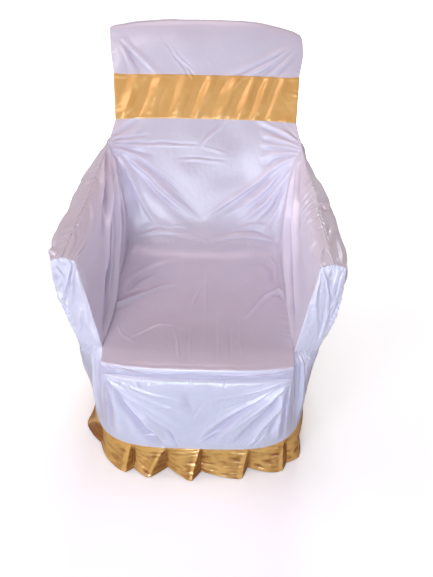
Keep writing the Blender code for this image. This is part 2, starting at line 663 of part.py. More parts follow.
# ================================================================ the pieces
def white_panels():
    """Every white panel with its folds, as a grid and its outward normals."""
    seams = {side: seams_of(side) for side in ("left", "right")}
    panels = across_panels(seams["left"], seams["right"])
    for name, (grid, outward) in arm_panels("right", seams["right"]).items():
        panels[name + "_right"] = (grid, outward)
    for name, (grid, (x, y, z)) in arm_panels("left", seams["left"]).items():
        panels[name + "_left"] = (mirrored(grid), (-x, y, z))
    sheets = {}
    for name, (grid, outward) in panels.items():
        normal = normals_of(grid, outward)
        grid = grid + normal * fold_relief(name, grid)[..., None]
        sheets[name] = (grid, normals_of(grid, outward))
    return share_normals(sheets)


def make_white_panels(sheets):
    hem_names = ("front_skirt", "side_skirt", "outside_back")
    for name, (grid, depth) in sheets.items():
        grid = step_back(grid)
        if name.startswith(hem_names):
            depth[-1] = unit(depth[-1] * (1, 1, 0))
            grid[-1, :, 2] = HEM_Z + SEAM_GAP / 2
        slab(name, grid, grid - CLOTH * depth, satin(name + "_satin", WHITE_SATIN))


def band_relief(u, v):
    """Slanting folds of the band at shares u of its length and v of its height from the top."""
    relief = np.zeros(np.broadcast(u, v).shape)
    for fold in BAND_FOLDS:
        place = fold.place + BAND_SLANT * (0.5 - v)
        relief += fold.height * np.exp(-((u - place) / fold.width) ** 2)
    return relief


def make_band(back, depth):
    """The band follows the backrest panel's own rows, just clear of it."""
    rows = slice(CROWN_ROWS, CROWN_ROWS + BAND_ROWS + 1)
    base, normal = step_back(back[rows]), unit(depth[rows])
    u = np.linspace(0.0, 1.0, base.shape[1])[None, :]
    v = np.linspace(0.0, 1.0, base.shape[0])[:, None]
    inner = base + normal * (BAND_CLEAR + band_relief(u, v))[..., None]
    slab("sash_band", inner + CLOTH * normal, inner, satin("sash_satin", GOLD_SATIN))


def frill_grid(start, recess, pleats):
    """Pleats side by side along the hem, hanging from it to the floor."""
    columns = []
    run = start
    for pleat in pleats:
        before = [share * pleat.tip for share in OPENING_STEPS]
        after = [pleat.tip + share * (1 - pleat.tip) for share in CLOSING_STEPS]
        for t in before + after:
            rise = t / pleat.tip if t <= pleat.tip else (1 - t) / (1 - pleat.tip)
            low = recess if t <= pleat.tip else pleat.recess
            columns.append((run + t * pleat.width, low + (pleat.out - low) * rise, pleat.lean, rise))
        run += pleat.width
        recess = pleat.recess
    columns.append((run, recess, 0.0, 0.0))
    runs, reach, lean, rise = np.array(columns).T
    top = hem_at(runs)
    ahead = unit(hem_at(runs + HEM_NEAR) - hem_at(runs - HEM_NEAR))
    outward = np.cross(ahead, (0.0, 0.0, 1.0))
    fall = np.linspace(0.0, 1.0, FRILL_ROWS + 1)[:, None]
    open_by = fall ** FRILL_FLARE
    grid = top[None] + outward[None] * (open_by * reach)[..., None]
    grid = grid + ahead[None] * (open_by * lean * rise)[..., None]
    grid[..., 2] = HEM_Z - fall * (HEM_Z - FRILL_FOOT * (1 - rise))
    return grid


def make_frills():
    """Four strips end to end: front, both sides, and the back from plain even pleats."""
    strips = dict(FRILLS)
    right_start, right_pleats = FRILLS["frill_right"]
    back_start = right_start + sum(pleat.width for pleat in right_pleats)
    first = {
        "frill_front": FRILLS["frill_left"][1][-1].recess,
        "frill_right": FRILLS["frill_front"][1][-1].recess,
    }
    back_run = 2 * HEM_HALF_RING + FRILLS["frill_left"][0] - back_start
    count = round(back_run / REAR_PLEAT.width)
    strips["frill_back"] = (back_start, [REAR_PLEAT._replace(width=back_run / count)] * count)
    sheets = {}
    for name, (start, pleats) in strips.items():
        grid = frill_grid(start, first.get(name, FIRST_RECESS), pleats)
        normal = unit(np.cross(np.gradient(grid, axis=0), np.gradient(grid, axis=1)))
        sheets[name] = (grid, -normal)
    for name, (grid, depth) in share_normals(sheets).items():
        middle = grid[0].mean(axis=0) * (1, 1, 0)
        if (depth.reshape(-1, 3).mean(axis=0) * middle).sum() < 0:
            depth = -depth
        grid = step_back(grid)
        depth[[0, -1]] = unit(depth[[0, -1]] * (1, 1, 0))
        grid[0, :, 2] = HEM_Z - SEAM_GAP / 2
        slab(name, grid, grid - CLOTH * depth, satin(name + "_satin", GOLD_SATIN))


def clear_scene():
    for old in list(bpy.data.objects):
        bpy.data.objects.remove(old, do_unlink=True)


def main():
    clear_scene()
    sheets = white_panels()
    back, depth = sheets["inside_back"]
    make_band(back, depth)
    make_white_panels(sheets)
    make_frills()


main()
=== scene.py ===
"""Looks of a white satin armchair cover with a gold sash band and a pleated gold frill.

Every piece is one thin sheet over its solid, worked out from the same seams at a finer step:
a panel stretched between its seams, its creases and gathers, and its edges turned in at the
seams. Metres, +Z up, the front faces -Y. "Left" is the -X side and "right" the +X side.
"""

from collections import namedtuple

import bpy
import numpy as np
from mathutils import Matrix, Vector
from mathutils.kdtree import KDTree


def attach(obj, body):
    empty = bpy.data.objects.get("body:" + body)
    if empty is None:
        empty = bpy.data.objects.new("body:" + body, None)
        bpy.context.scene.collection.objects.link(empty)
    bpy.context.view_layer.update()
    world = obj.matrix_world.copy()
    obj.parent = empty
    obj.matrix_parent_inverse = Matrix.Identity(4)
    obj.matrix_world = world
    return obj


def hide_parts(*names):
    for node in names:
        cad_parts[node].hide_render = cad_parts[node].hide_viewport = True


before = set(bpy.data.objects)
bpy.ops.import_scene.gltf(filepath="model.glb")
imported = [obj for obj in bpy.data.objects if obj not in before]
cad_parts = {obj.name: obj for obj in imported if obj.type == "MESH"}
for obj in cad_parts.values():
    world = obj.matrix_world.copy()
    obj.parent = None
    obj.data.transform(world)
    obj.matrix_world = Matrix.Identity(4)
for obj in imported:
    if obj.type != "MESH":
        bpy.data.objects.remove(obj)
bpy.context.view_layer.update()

# ---------------------------------------------------------------- segments
FINE = 8                # grid steps for each step of the solids
ACROSS = 16 * FINE      # across the back, seat and front skirt
CROWN_ROWS = 4 * FINE   # rear top seam over the crown to the band
BAND_ROWS = 2 * FINE    # height of the sash band
BELOW_BAND_ROWS = 1 * FINE      # band to the pinch where the arms begin
ARM_ROWS = 8 * FINE     # pinch to seat, and arm seam to seat level
ARM_COLUMNS = 9 * FINE  # along the arm
FACE_COLUMNS = 2 * FINE # arm front, each side of the arm seam
TUCK_COLUMNS = 1 * FINE # side of the seat in front of the arm
LIP_ROWS = 2 * FINE     # turned-down lip of the seat
SKIRT_ROWS = 6 * FINE   # lip seam to hem
SAMPLES_PER_KEY = 60    # when a line is measured to space its points evenly
HEM_SAMPLES = 2001      # the same for the hem

# ---------------------------------------------------------------- heights
BAND_TOP_Z = 0.824
BAND_FOOT_Z = 0.730
PINCH_Z = 0.696
SEAT_Z = 0.435
LEG_TOP_Z = 0.4264      # level of the seat along the outside of the arms
LIP_Z = 0.400
HEM_Z = 0.103

# ---------------------------------------------------------------- corners where seams meet
# half-width x, depth y, height z, on the right side
BAND_TOP = (0.2160, 0.2540, BAND_TOP_Z)
BAND_FOOT = (0.2160, 0.2140, BAND_FOOT_Z)
PINCH = (0.2294, 0.1635, PINCH_Z)
SEAT_BACK = (0.2009, 0.0971, SEAT_Z)
SEAT_FRONT = (0.2061, -0.2812, SEAT_Z)
LIP_END = (0.2065, -0.2880, LIP_Z)
LEG_INNER = (0.2095, -0.2397, 0.4295)
LEG_OUTER = (0.2616, -0.2297, LEG_TOP_Z)
LEG_REAR = (0.2700, 0.1300, LEG_TOP_Z)
ARM_END = (0.2680, -0.1950, 0.6520)
ARM_INNER = (0.2427, -0.1952, 0.6437)
ARM_OUTER = (0.2934, -0.1952, 0.6437)

# ---------------------------------------------------------------- hem, seen from above
HEM_HALF_WIDTH = 0.287
HEM_CENTRE_X = -0.005   # the skirts hang a little to the left
HEM_HALF_DEPTH = 0.298
HEM_SQUARENESS = 4.0    # 2 is an ellipse, more is squarer
HEM_FRONT_RUN = 0.230   # along the hem from the front centre to the front skirt's side seam
HEM_REAR_RUN = 0.430    # from the rear centre to the outside back's side seam

# ---------------------------------------------------------------- seams and lines, right side
# Each row is x, y, z; a seam runs from corner to corner.
SHOULDER_SEAM = {
    "left": (
        (0.2140, 0.3250, 0.9050),
        (0.2210, 0.3110, 0.9080),
        (0.2220, 0.2910, 0.8830),
        BAND_TOP,
    ),
    "right": (
        (0.2060, 0.3250, 0.8975),
        (0.2150, 0.3110, 0.8960),
        (0.2225, 0.2910, 0.8700),
        BAND_TOP,
    ),
}
BAND_SIDE = (BAND_TOP, BAND_FOOT)
PINCH_SEAM = (BAND_FOOT, PINCH)
BACK_ARM_SEAM = (PINCH, (0.2150, 0.1590, 0.6450), (0.2075, 0.1440, 0.5600), SEAT_BACK)
SEAT_SIDE = (SEAT_BACK, (0.2040, -0.0700, 0.4350), LEG_INNER)
SEAT_TUCK = (LEG_INNER, SEAT_FRONT)
LIP_SIDE = (SEAT_FRONT, LIP_END)
ARM_SEAM = (
    PINCH,
    (0.2400, 0.0950, 0.6740),
    (0.2480, 0.0000, 0.6660),
    (0.2580, -0.1000, 0.6600),
    ARM_END,
)
ARM_REAR_SEAM = {
    "left": (PINCH, (0.2600, 0.1580, 0.6620), (0.2720, 0.1450, 0.5600), LEG_REAR),
    "right": (PINCH, (0.2460, 0.1570, 0.6580), (0.2680, 0.1450, 0.5600), LEG_REAR),
}
ARM_FOLD = (ARM_INNER, (0.2260, -0.2175, 0.5350), LEG_INNER)
ARM_OUTER_SEAM = {
    "left": (ARM_OUTER, (0.2940, -0.2060, 0.5800), (0.2800, -0.2180, 0.5000), LEG_OUTER),
    "right": (ARM_OUTER, (0.2945, -0.2060, 0.5800), (0.2880, -0.2150, 0.5000), LEG_OUTER),
}
SEAT_LEVEL = (
    LEG_REAR,
    (0.2790, 0.0000, LEG_TOP_Z),
    (0.2790, -0.1400, LEG_TOP_Z),
    (0.2740, -0.2020, LEG_TOP_Z),
    LEG_OUTER,
)
# lines inside the arm panels, rear to front
INNER_EDGE = (
    (0.2290, 0.1520, 0.6740),
    (0.2360, 0.0500, 0.6600),
    (0.2400, -0.0800, 0.6530),
    ARM_INNER,
)
INNER_WALL = (
    (0.2090, 0.1460, 0.5800),
    (0.2180, 0.0000, 0.5450),
    (0.2240, -0.1200, 0.5350),
    (0.2260, -0.2175, 0.5350),
)
# the left arm stands wider at the rear and sags into a pouch; the right one bulges lower down
OUTER_EDGE = {
    "left": (
        (0.2600, 0.1500, 0.6600),
        (0.2820, 0.0700, 0.6500),
        (0.2895, -0.0200, 0.6470),
        (0.2985, -0.1200, 0.6430),
        ARM_OUTER,
    ),
    "right": (
        (0.2460, 0.1500, 0.6600),
        (0.2745, 0.0700, 0.6480),
        (0.2860, -0.0200, 0.6450),
        (0.2940, -0.1200, 0.6420),
        ARM_OUTER,
    ),
}
OUTER_SAG = {
    "left": (
        (0.2690, 0.1450, 0.5600),
        (0.2910, 0.0200, 0.5450),
        (0.2965, -0.1100, 0.5300),
        (0.2900, -0.2080, 0.5500),
    ),
    "right": (
        (0.2680, 0.1450, 0.5600),
        (0.2900, 0.0200, 0.5400),
        (0.3010, -0.1100, 0.5200),
        (0.2930, -0.2100, 0.5350),
    ),
}

# centre lines of the front and rear, top to bottom: y, z
CENTRE_CROWN = ((0.3400, 0.9120), (0.3220, 0.9290), (0.3000, 0.9080), (0.2600, BAND_TOP_Z))
CENTRE_BAND = ((0.2600, BAND_TOP_Z), (0.2215, BAND_FOOT_Z))
CENTRE_BELOW_BAND = ((0.2215, BAND_FOOT_Z), (0.2070, PINCH_Z))
CENTRE_BACK = ((0.2070, PINCH_Z), (0.1500, 0.560), (0.1200, 0.490), (0.0900, 0.4520))
CENTRE_SEAT = (
    (0.0900, 0.4520),
    (0.0600, 0.4380),
    (0.0200, 0.4320),
    (-0.0800, 0.4300),
    (-0.2520, 0.4370),
)
CENTRE_TUCK = ((-0.2520, 0.4370), (-0.2950, SEAT_Z))
CENTRE_LIP = ((-0.2950, SEAT_Z), (-0.3045, 0.4260), (-0.3020, LIP_Z))
CENTRE_SKIRT = ((-0.3020, LIP_Z), (-0.3060, 0.3700), (-0.3030, 0.2500), (-HEM_HALF_DEPTH, HEM_Z))
CENTRE_REAR = ((0.3400, 0.9120), (0.3400, 0.7000), (0.3230, LEG_TOP_Z), (HEM_HALF_DEPTH, HEM_Z))

EDGE_PULL = 3.0         # how fast a seam's pull on its panel fades towards the middle
SIDE_HUG = 3.5          # how late the front panels turn towards their side seams
REAR_SQUARENESS = 3.6   # plan shape of the outside back round the rear corners
LEFT_BULGE = 0.012      # the outside back stands this far proud of its left side seam
RIGHT_BULGE = 0.034     # and of its right one
SIDE_SHARE = 0.22       # share of the outside back's columns on each side of the chair
CORNER_TURN = 0.25      # share of its half turn that those columns take


# ================================================================ lines
def run_along(points):
    """Each point's distance from the first along the line that they make."""
    return np.append(0.0, np.cumsum(np.linalg.norm(np.diff(points, axis=0), axis=1)))


def smooth_between(t, step, low, low_slope, high, high_slope):
    """Values from low to high with the given slopes there, as t runs from 0 to 1 over a step."""
    return (
        (1 + 2 * t) * (1 - t) ** 2 * low
        + t * (1 - t) ** 2 * step * low_slope
        + t ** 2 * (3 - 2 * t) * high
        + t ** 2 * (t - 1) * step * high_slope
    )


def line_through(keys, steps):
    """steps + 1 evenly spaced points on a smooth line through the key points."""
    keys = np.array(keys, float)
    chord = run_along(keys)
    slope = np.gradient(keys, chord, axis=0)
    where = np.linspace(0.0, chord[-1], SAMPLES_PER_KEY * len(keys))
    span = np.clip(np.searchsorted(chord, where, side="right") - 1, 0, len(keys) - 2)
    length = (chord[span + 1] - chord[span])[:, None]
    t = (where[:, None] - chord[span][:, None]) / length
    fine = smooth_between(t, length, keys[span], slope[span], keys[span + 1], slope[span + 1])
    along = run_along(fine)
    even = np.linspace(0.0, along[-1], steps + 1)
    return np.column_stack([np.interp(even, along, fine[:, k]) for k in range(keys.shape[1])])


def chain(*lines):
    """One line from several that meet end to start."""
    return np.vstack([lines[0]] + [line[1:] for line in lines[1:]])


def centre(keys, steps):
    """A line in the middle plane, from rows of y and z."""
    return line_through([(0.0, y, z) for y, z in keys], steps)


def mirrored(line):
    """The same on the other side of the chair."""
    return line * (-1.0, 1.0, 1.0)


def hem_ring():
    """The right half of the hem seen from above, front centre to rear centre, and its run."""
    turn = np.linspace(0.0, np.pi, HEM_SAMPLES)
    power = 2.0 / HEM_SQUARENESS
    x = HEM_HALF_WIDTH * np.abs(np.sin(turn)) ** power
    y = -HEM_HALF_DEPTH * np.sign(np.cos(turn)) * np.abs(np.cos(turn)) ** power
    run = np.append(0.0, np.cumsum(np.hypot(np.diff(x), np.diff(y))))
    return x, y, run


HEM_X, HEM_Y, HEM_RUN = hem_ring()
HEM_HALF_RING = HEM_RUN[-1]


def hem_at(run):
    """Points of the hem at runs from the front centre, right positive and left negative."""
    run = np.asarray(run, float)
    wrapped = (run + HEM_HALF_RING) % (2 * HEM_HALF_RING) - HEM_HALF_RING
    x = np.interp(np.abs(wrapped), HEM_RUN, HEM_X) * np.sign(wrapped)
    y = np.interp(np.abs(wrapped), HEM_RUN, HEM_Y)
    return np.column_stack([x + HEM_CENTRE_X, y, np.full(len(run), HEM_Z)])


def hem_line(start, end, steps):
    """The hem between two runs, in even steps."""
    return hem_at(np.linspace(start, end, steps + 1))


def seams_of(side):
    """Every seam of one side, by name, as it would lie on the right."""
    skirt_rows = LIP_ROWS + SKIRT_ROWS
    hem_columns = TUCK_COLUMNS + 2 * FACE_COLUMNS + ARM_COLUMNS
    hem_rear = HEM_HALF_RING - HEM_REAR_RUN
    if side == "right":
        hem = hem_line(HEM_FRONT_RUN, hem_rear, hem_columns)
    else:
        hem = mirrored(hem_line(-HEM_FRONT_RUN, -hem_rear, hem_columns))
    return {
        "shoulder": chain(
            line_through(SHOULDER_SEAM[side], CROWN_ROWS),
            line_through(BAND_SIDE, BAND_ROWS),
            line_through(PINCH_SEAM, BELOW_BAND_ROWS),
        ),
        "back_arm": line_through(BACK_ARM_SEAM, ARM_ROWS),
        "seat_side": line_through(SEAT_SIDE, ARM_COLUMNS),
        "seat_tuck": line_through(SEAT_TUCK, TUCK_COLUMNS),
        "lip_side": line_through(LIP_SIDE, LIP_ROWS),
        "skirt_front": line_through([LIP_END, hem[0]], SKIRT_ROWS),
        "skirt_rear": line_through([LEG_REAR, hem[-1]], skirt_rows),
        "hem": hem,
        "arm_seam": line_through(ARM_SEAM, ARM_COLUMNS),
        "arm_rear": line_through(ARM_REAR_SEAM[side], ARM_ROWS),
        "face_top_inner": line_through([ARM_END, ARM_INNER], FACE_COLUMNS),
        "face_top_outer": line_through([ARM_END, ARM_OUTER], FACE_COLUMNS),
        "arm_fold": line_through(ARM_FOLD, ARM_ROWS - FACE_COLUMNS),
        "arm_outer": line_through(ARM_OUTER_SEAM[side], ARM_ROWS - FACE_COLUMNS),
        "seat_level": line_through(SEAT_LEVEL, ARM_COLUMNS),
        "leg_top": line_through([LEG_INNER, LEG_OUTER], 2 * FACE_COLUMNS),
    }


# ================================================================ panels
def shares(rows, columns):
    """Shares of the way down and of the way across a grid with so many steps."""
    down, across = np.linspace(0.0, 1.0, rows + 1), np.linspace(0.0, 1.0, columns + 1)
    return down[:, None, None], across[None, :, None]


def span_across(left, middle, right, hug):
    """Rows from the left line over the middle line to the right one, turning late to the sides."""
    u = np.linspace(-1.0, 1.0, ACROSS + 1)[None, :, None]
    reach = np.abs(u)
    side = np.where(u < 0, left[:, None, :], right[:, None, :])
    off = side - middle[:, None, :]
    share = np.concatenate([reach, reach ** hug, reach ** hug], axis=2)
    return middle[:, None, :] + off * share


def loft(lines, rows):
    """A grid whose first and last rows are the first and last lines, smooth through the others."""
    columns = [line_through([line[k] for line in lines], rows) for k in range(len(lines[0]))]
    return np.stack(columns, axis=1)


def fit_edges(grid, top=None, foot=None, start=None, end=None):
    """Moves a grid's borders onto the given seams and blends the move into the middle."""
    v, u = shares(grid.shape[0] - 1, grid.shape[1] - 1)
    if top is not None:
        grid = grid + (1 - v) ** EDGE_PULL * (top - grid[0])[None]
    if foot is not None:
        grid = grid + v ** EDGE_PULL * (foot - grid[-1])[None]
    if start is not None:
        grid = grid + (1 - u) ** EDGE_PULL * (start - grid[:, 0])[:, None]
    if end is not None:
        grid = grid + u ** EDGE_PULL * (end - grid[:, -1])[:, None]
    return grid


def between(top, foot, start, end):
    """A panel stretched evenly between its four seams."""
    v, u = shares(len(start) - 1, len(top) - 1)
    corners = (
        (1 - u) * (1 - v) * top[0] + u * (1 - v) * top[-1]
        + (1 - u) * v * foot[0] + u * v * foot[-1]
    )
    sides = (1 - u) * start[:, None] + u * end[:, None]
    return (1 - v) * top[None] + v * foot[None] + sides - corners


def rear_wrap(left, right, middle, top):
    """The outside back: level sections that run round both rear corners."""
    turn = np.linspace(0.0, 1.0, ACROSS + 1)
    columns_at = [0.0, SIDE_SHARE, 1 - SIDE_SHARE, 1.0]
    angle = np.pi * np.interp(turn, columns_at, [0.0, CORNER_TURN, 1 - CORNER_TURN, 1.0])
    power = 2.0 / REAR_SQUARENESS
    wide = np.sign(np.cos(angle)) * np.abs(np.cos(angle)) ** power
    deep = np.abs(np.sin(angle)) ** power
    side = np.where(turn[None, :, None] < 0.5, left[:, None, :], right[:, None, :])
    grid = np.empty((len(middle), ACROSS + 1, 3))
    bulge = np.where(turn < 0.5, LEFT_BULGE, RIGHT_BULGE)
    grid[..., 0] = -np.abs(side[..., 0]) * wide - bulge * np.sin(2 * angle)
    grid[..., 1] = side[..., 1] + (middle[:, None, 1] - side[..., 1]) * deep
    grid[..., 2] = side[..., 2] + (middle[:, None, 2] - side[..., 2]) * deep
    return fit_edges(grid, top=top, start=left, end=right)


def across_panels(left_seams, right_seams):
    """The panels that run across the chair, by name, with the side that faces out."""
    def both_sides(names):
        left = mirrored(chain(*[left_seams[name] for name in names]))
        return left, chain(*[right_seams[name] for name in names])

    def span(names, centre_line):
        left, right = both_sides(names)
        return span_across(left, centre_line, right, SIDE_HUG)

    back_centre = chain(
        centre(CENTRE_CROWN, CROWN_ROWS),
        centre(CENTRE_BAND, BAND_ROWS),
        centre(CENTRE_BELOW_BAND, BELOW_BAND_ROWS),
        centre(CENTRE_BACK, ARM_ROWS),
    )
    seat_centre = chain(
        centre(CENTRE_SEAT, ARM_COLUMNS),
        centre(CENTRE_TUCK, TUCK_COLUMNS),
        centre(CENTRE_LIP, LIP_ROWS),
    )
    back = span(["shoulder", "back_arm"], back_centre)
    seat = span(["seat_side", "seat_tuck", "lip_side"], seat_centre)
    skirt = span(["skirt_front"], centre(CENTRE_SKIRT, SKIRT_ROWS))
    skirt = fit_edges(skirt, foot=hem_line(-HEM_FRONT_RUN, HEM_FRONT_RUN, ACROSS))
    rear_left, rear_right = both_sides(["shoulder", "arm_rear", "skirt_rear"])
    rear = rear_wrap(rear_left, rear_right, centre(CENTRE_REAR, len(rear_left) - 1), back[0])
    hem_rear = HEM_HALF_RING - HEM_REAR_RUN
    rear_foot = hem_line(-hem_rear, -hem_rear - 2 * HEM_REAR_RUN, ACROSS)
    return {
        "inside_back": (back, (0, -1, 0.4)),
        "seat_panel": (seat, (0, 0, 1)),
        "front_skirt": (skirt, (0, -1, 0)),
        "outside_back": (fit_edges(rear, foot=rear_foot), (0, 1, 0)),
    }


def arm_panels(side, seams):
    """The arm and leg panels of one side as they would lie on the right, and where they face."""
    front_inner = chain(seams["face_top_inner"], seams["arm_fold"])
    front_outer = chain(seams["face_top_outer"], seams["arm_outer"])
    inner = loft(
        [
            seams["arm_seam"],
            line_through(INNER_EDGE, ARM_COLUMNS),
            line_through(INNER_WALL, ARM_COLUMNS),
            seams["seat_side"],
        ],
        ARM_ROWS,
    )
    outer = loft(
        [
            seams["arm_seam"],
            line_through(OUTER_EDGE[side], ARM_COLUMNS),
            line_through(OUTER_SAG[side], ARM_COLUMNS),
            seams["seat_level"],
        ],
        ARM_ROWS,
    )
    face_top = chain(seams["face_top_inner"][::-1], seams["face_top_outer"])
    leg_top = chain(seams["seat_tuck"][::-1], seams["leg_top"], seams["seat_level"][::-1])
    skirt_front = chain(seams["lip_side"], seams["skirt_front"])
    return {
        "inner_arm": (fit_edges(inner, start=seams["back_arm"], end=front_inner), (-1, 0, 0.2)),
        "outer_arm": (fit_edges(outer, start=seams["arm_rear"], end=front_outer), (1, 0, 0.2)),
        "arm_front": (
            between(face_top, seams["leg_top"], seams["arm_fold"], seams["arm_outer"]),
            (0, -1, 0),
        ),
        "side_skirt": (
            between(leg_top, seams["hem"], skirt_front, seams["skirt_rear"]),
            (1, -0.3, 0),
        ),
    }


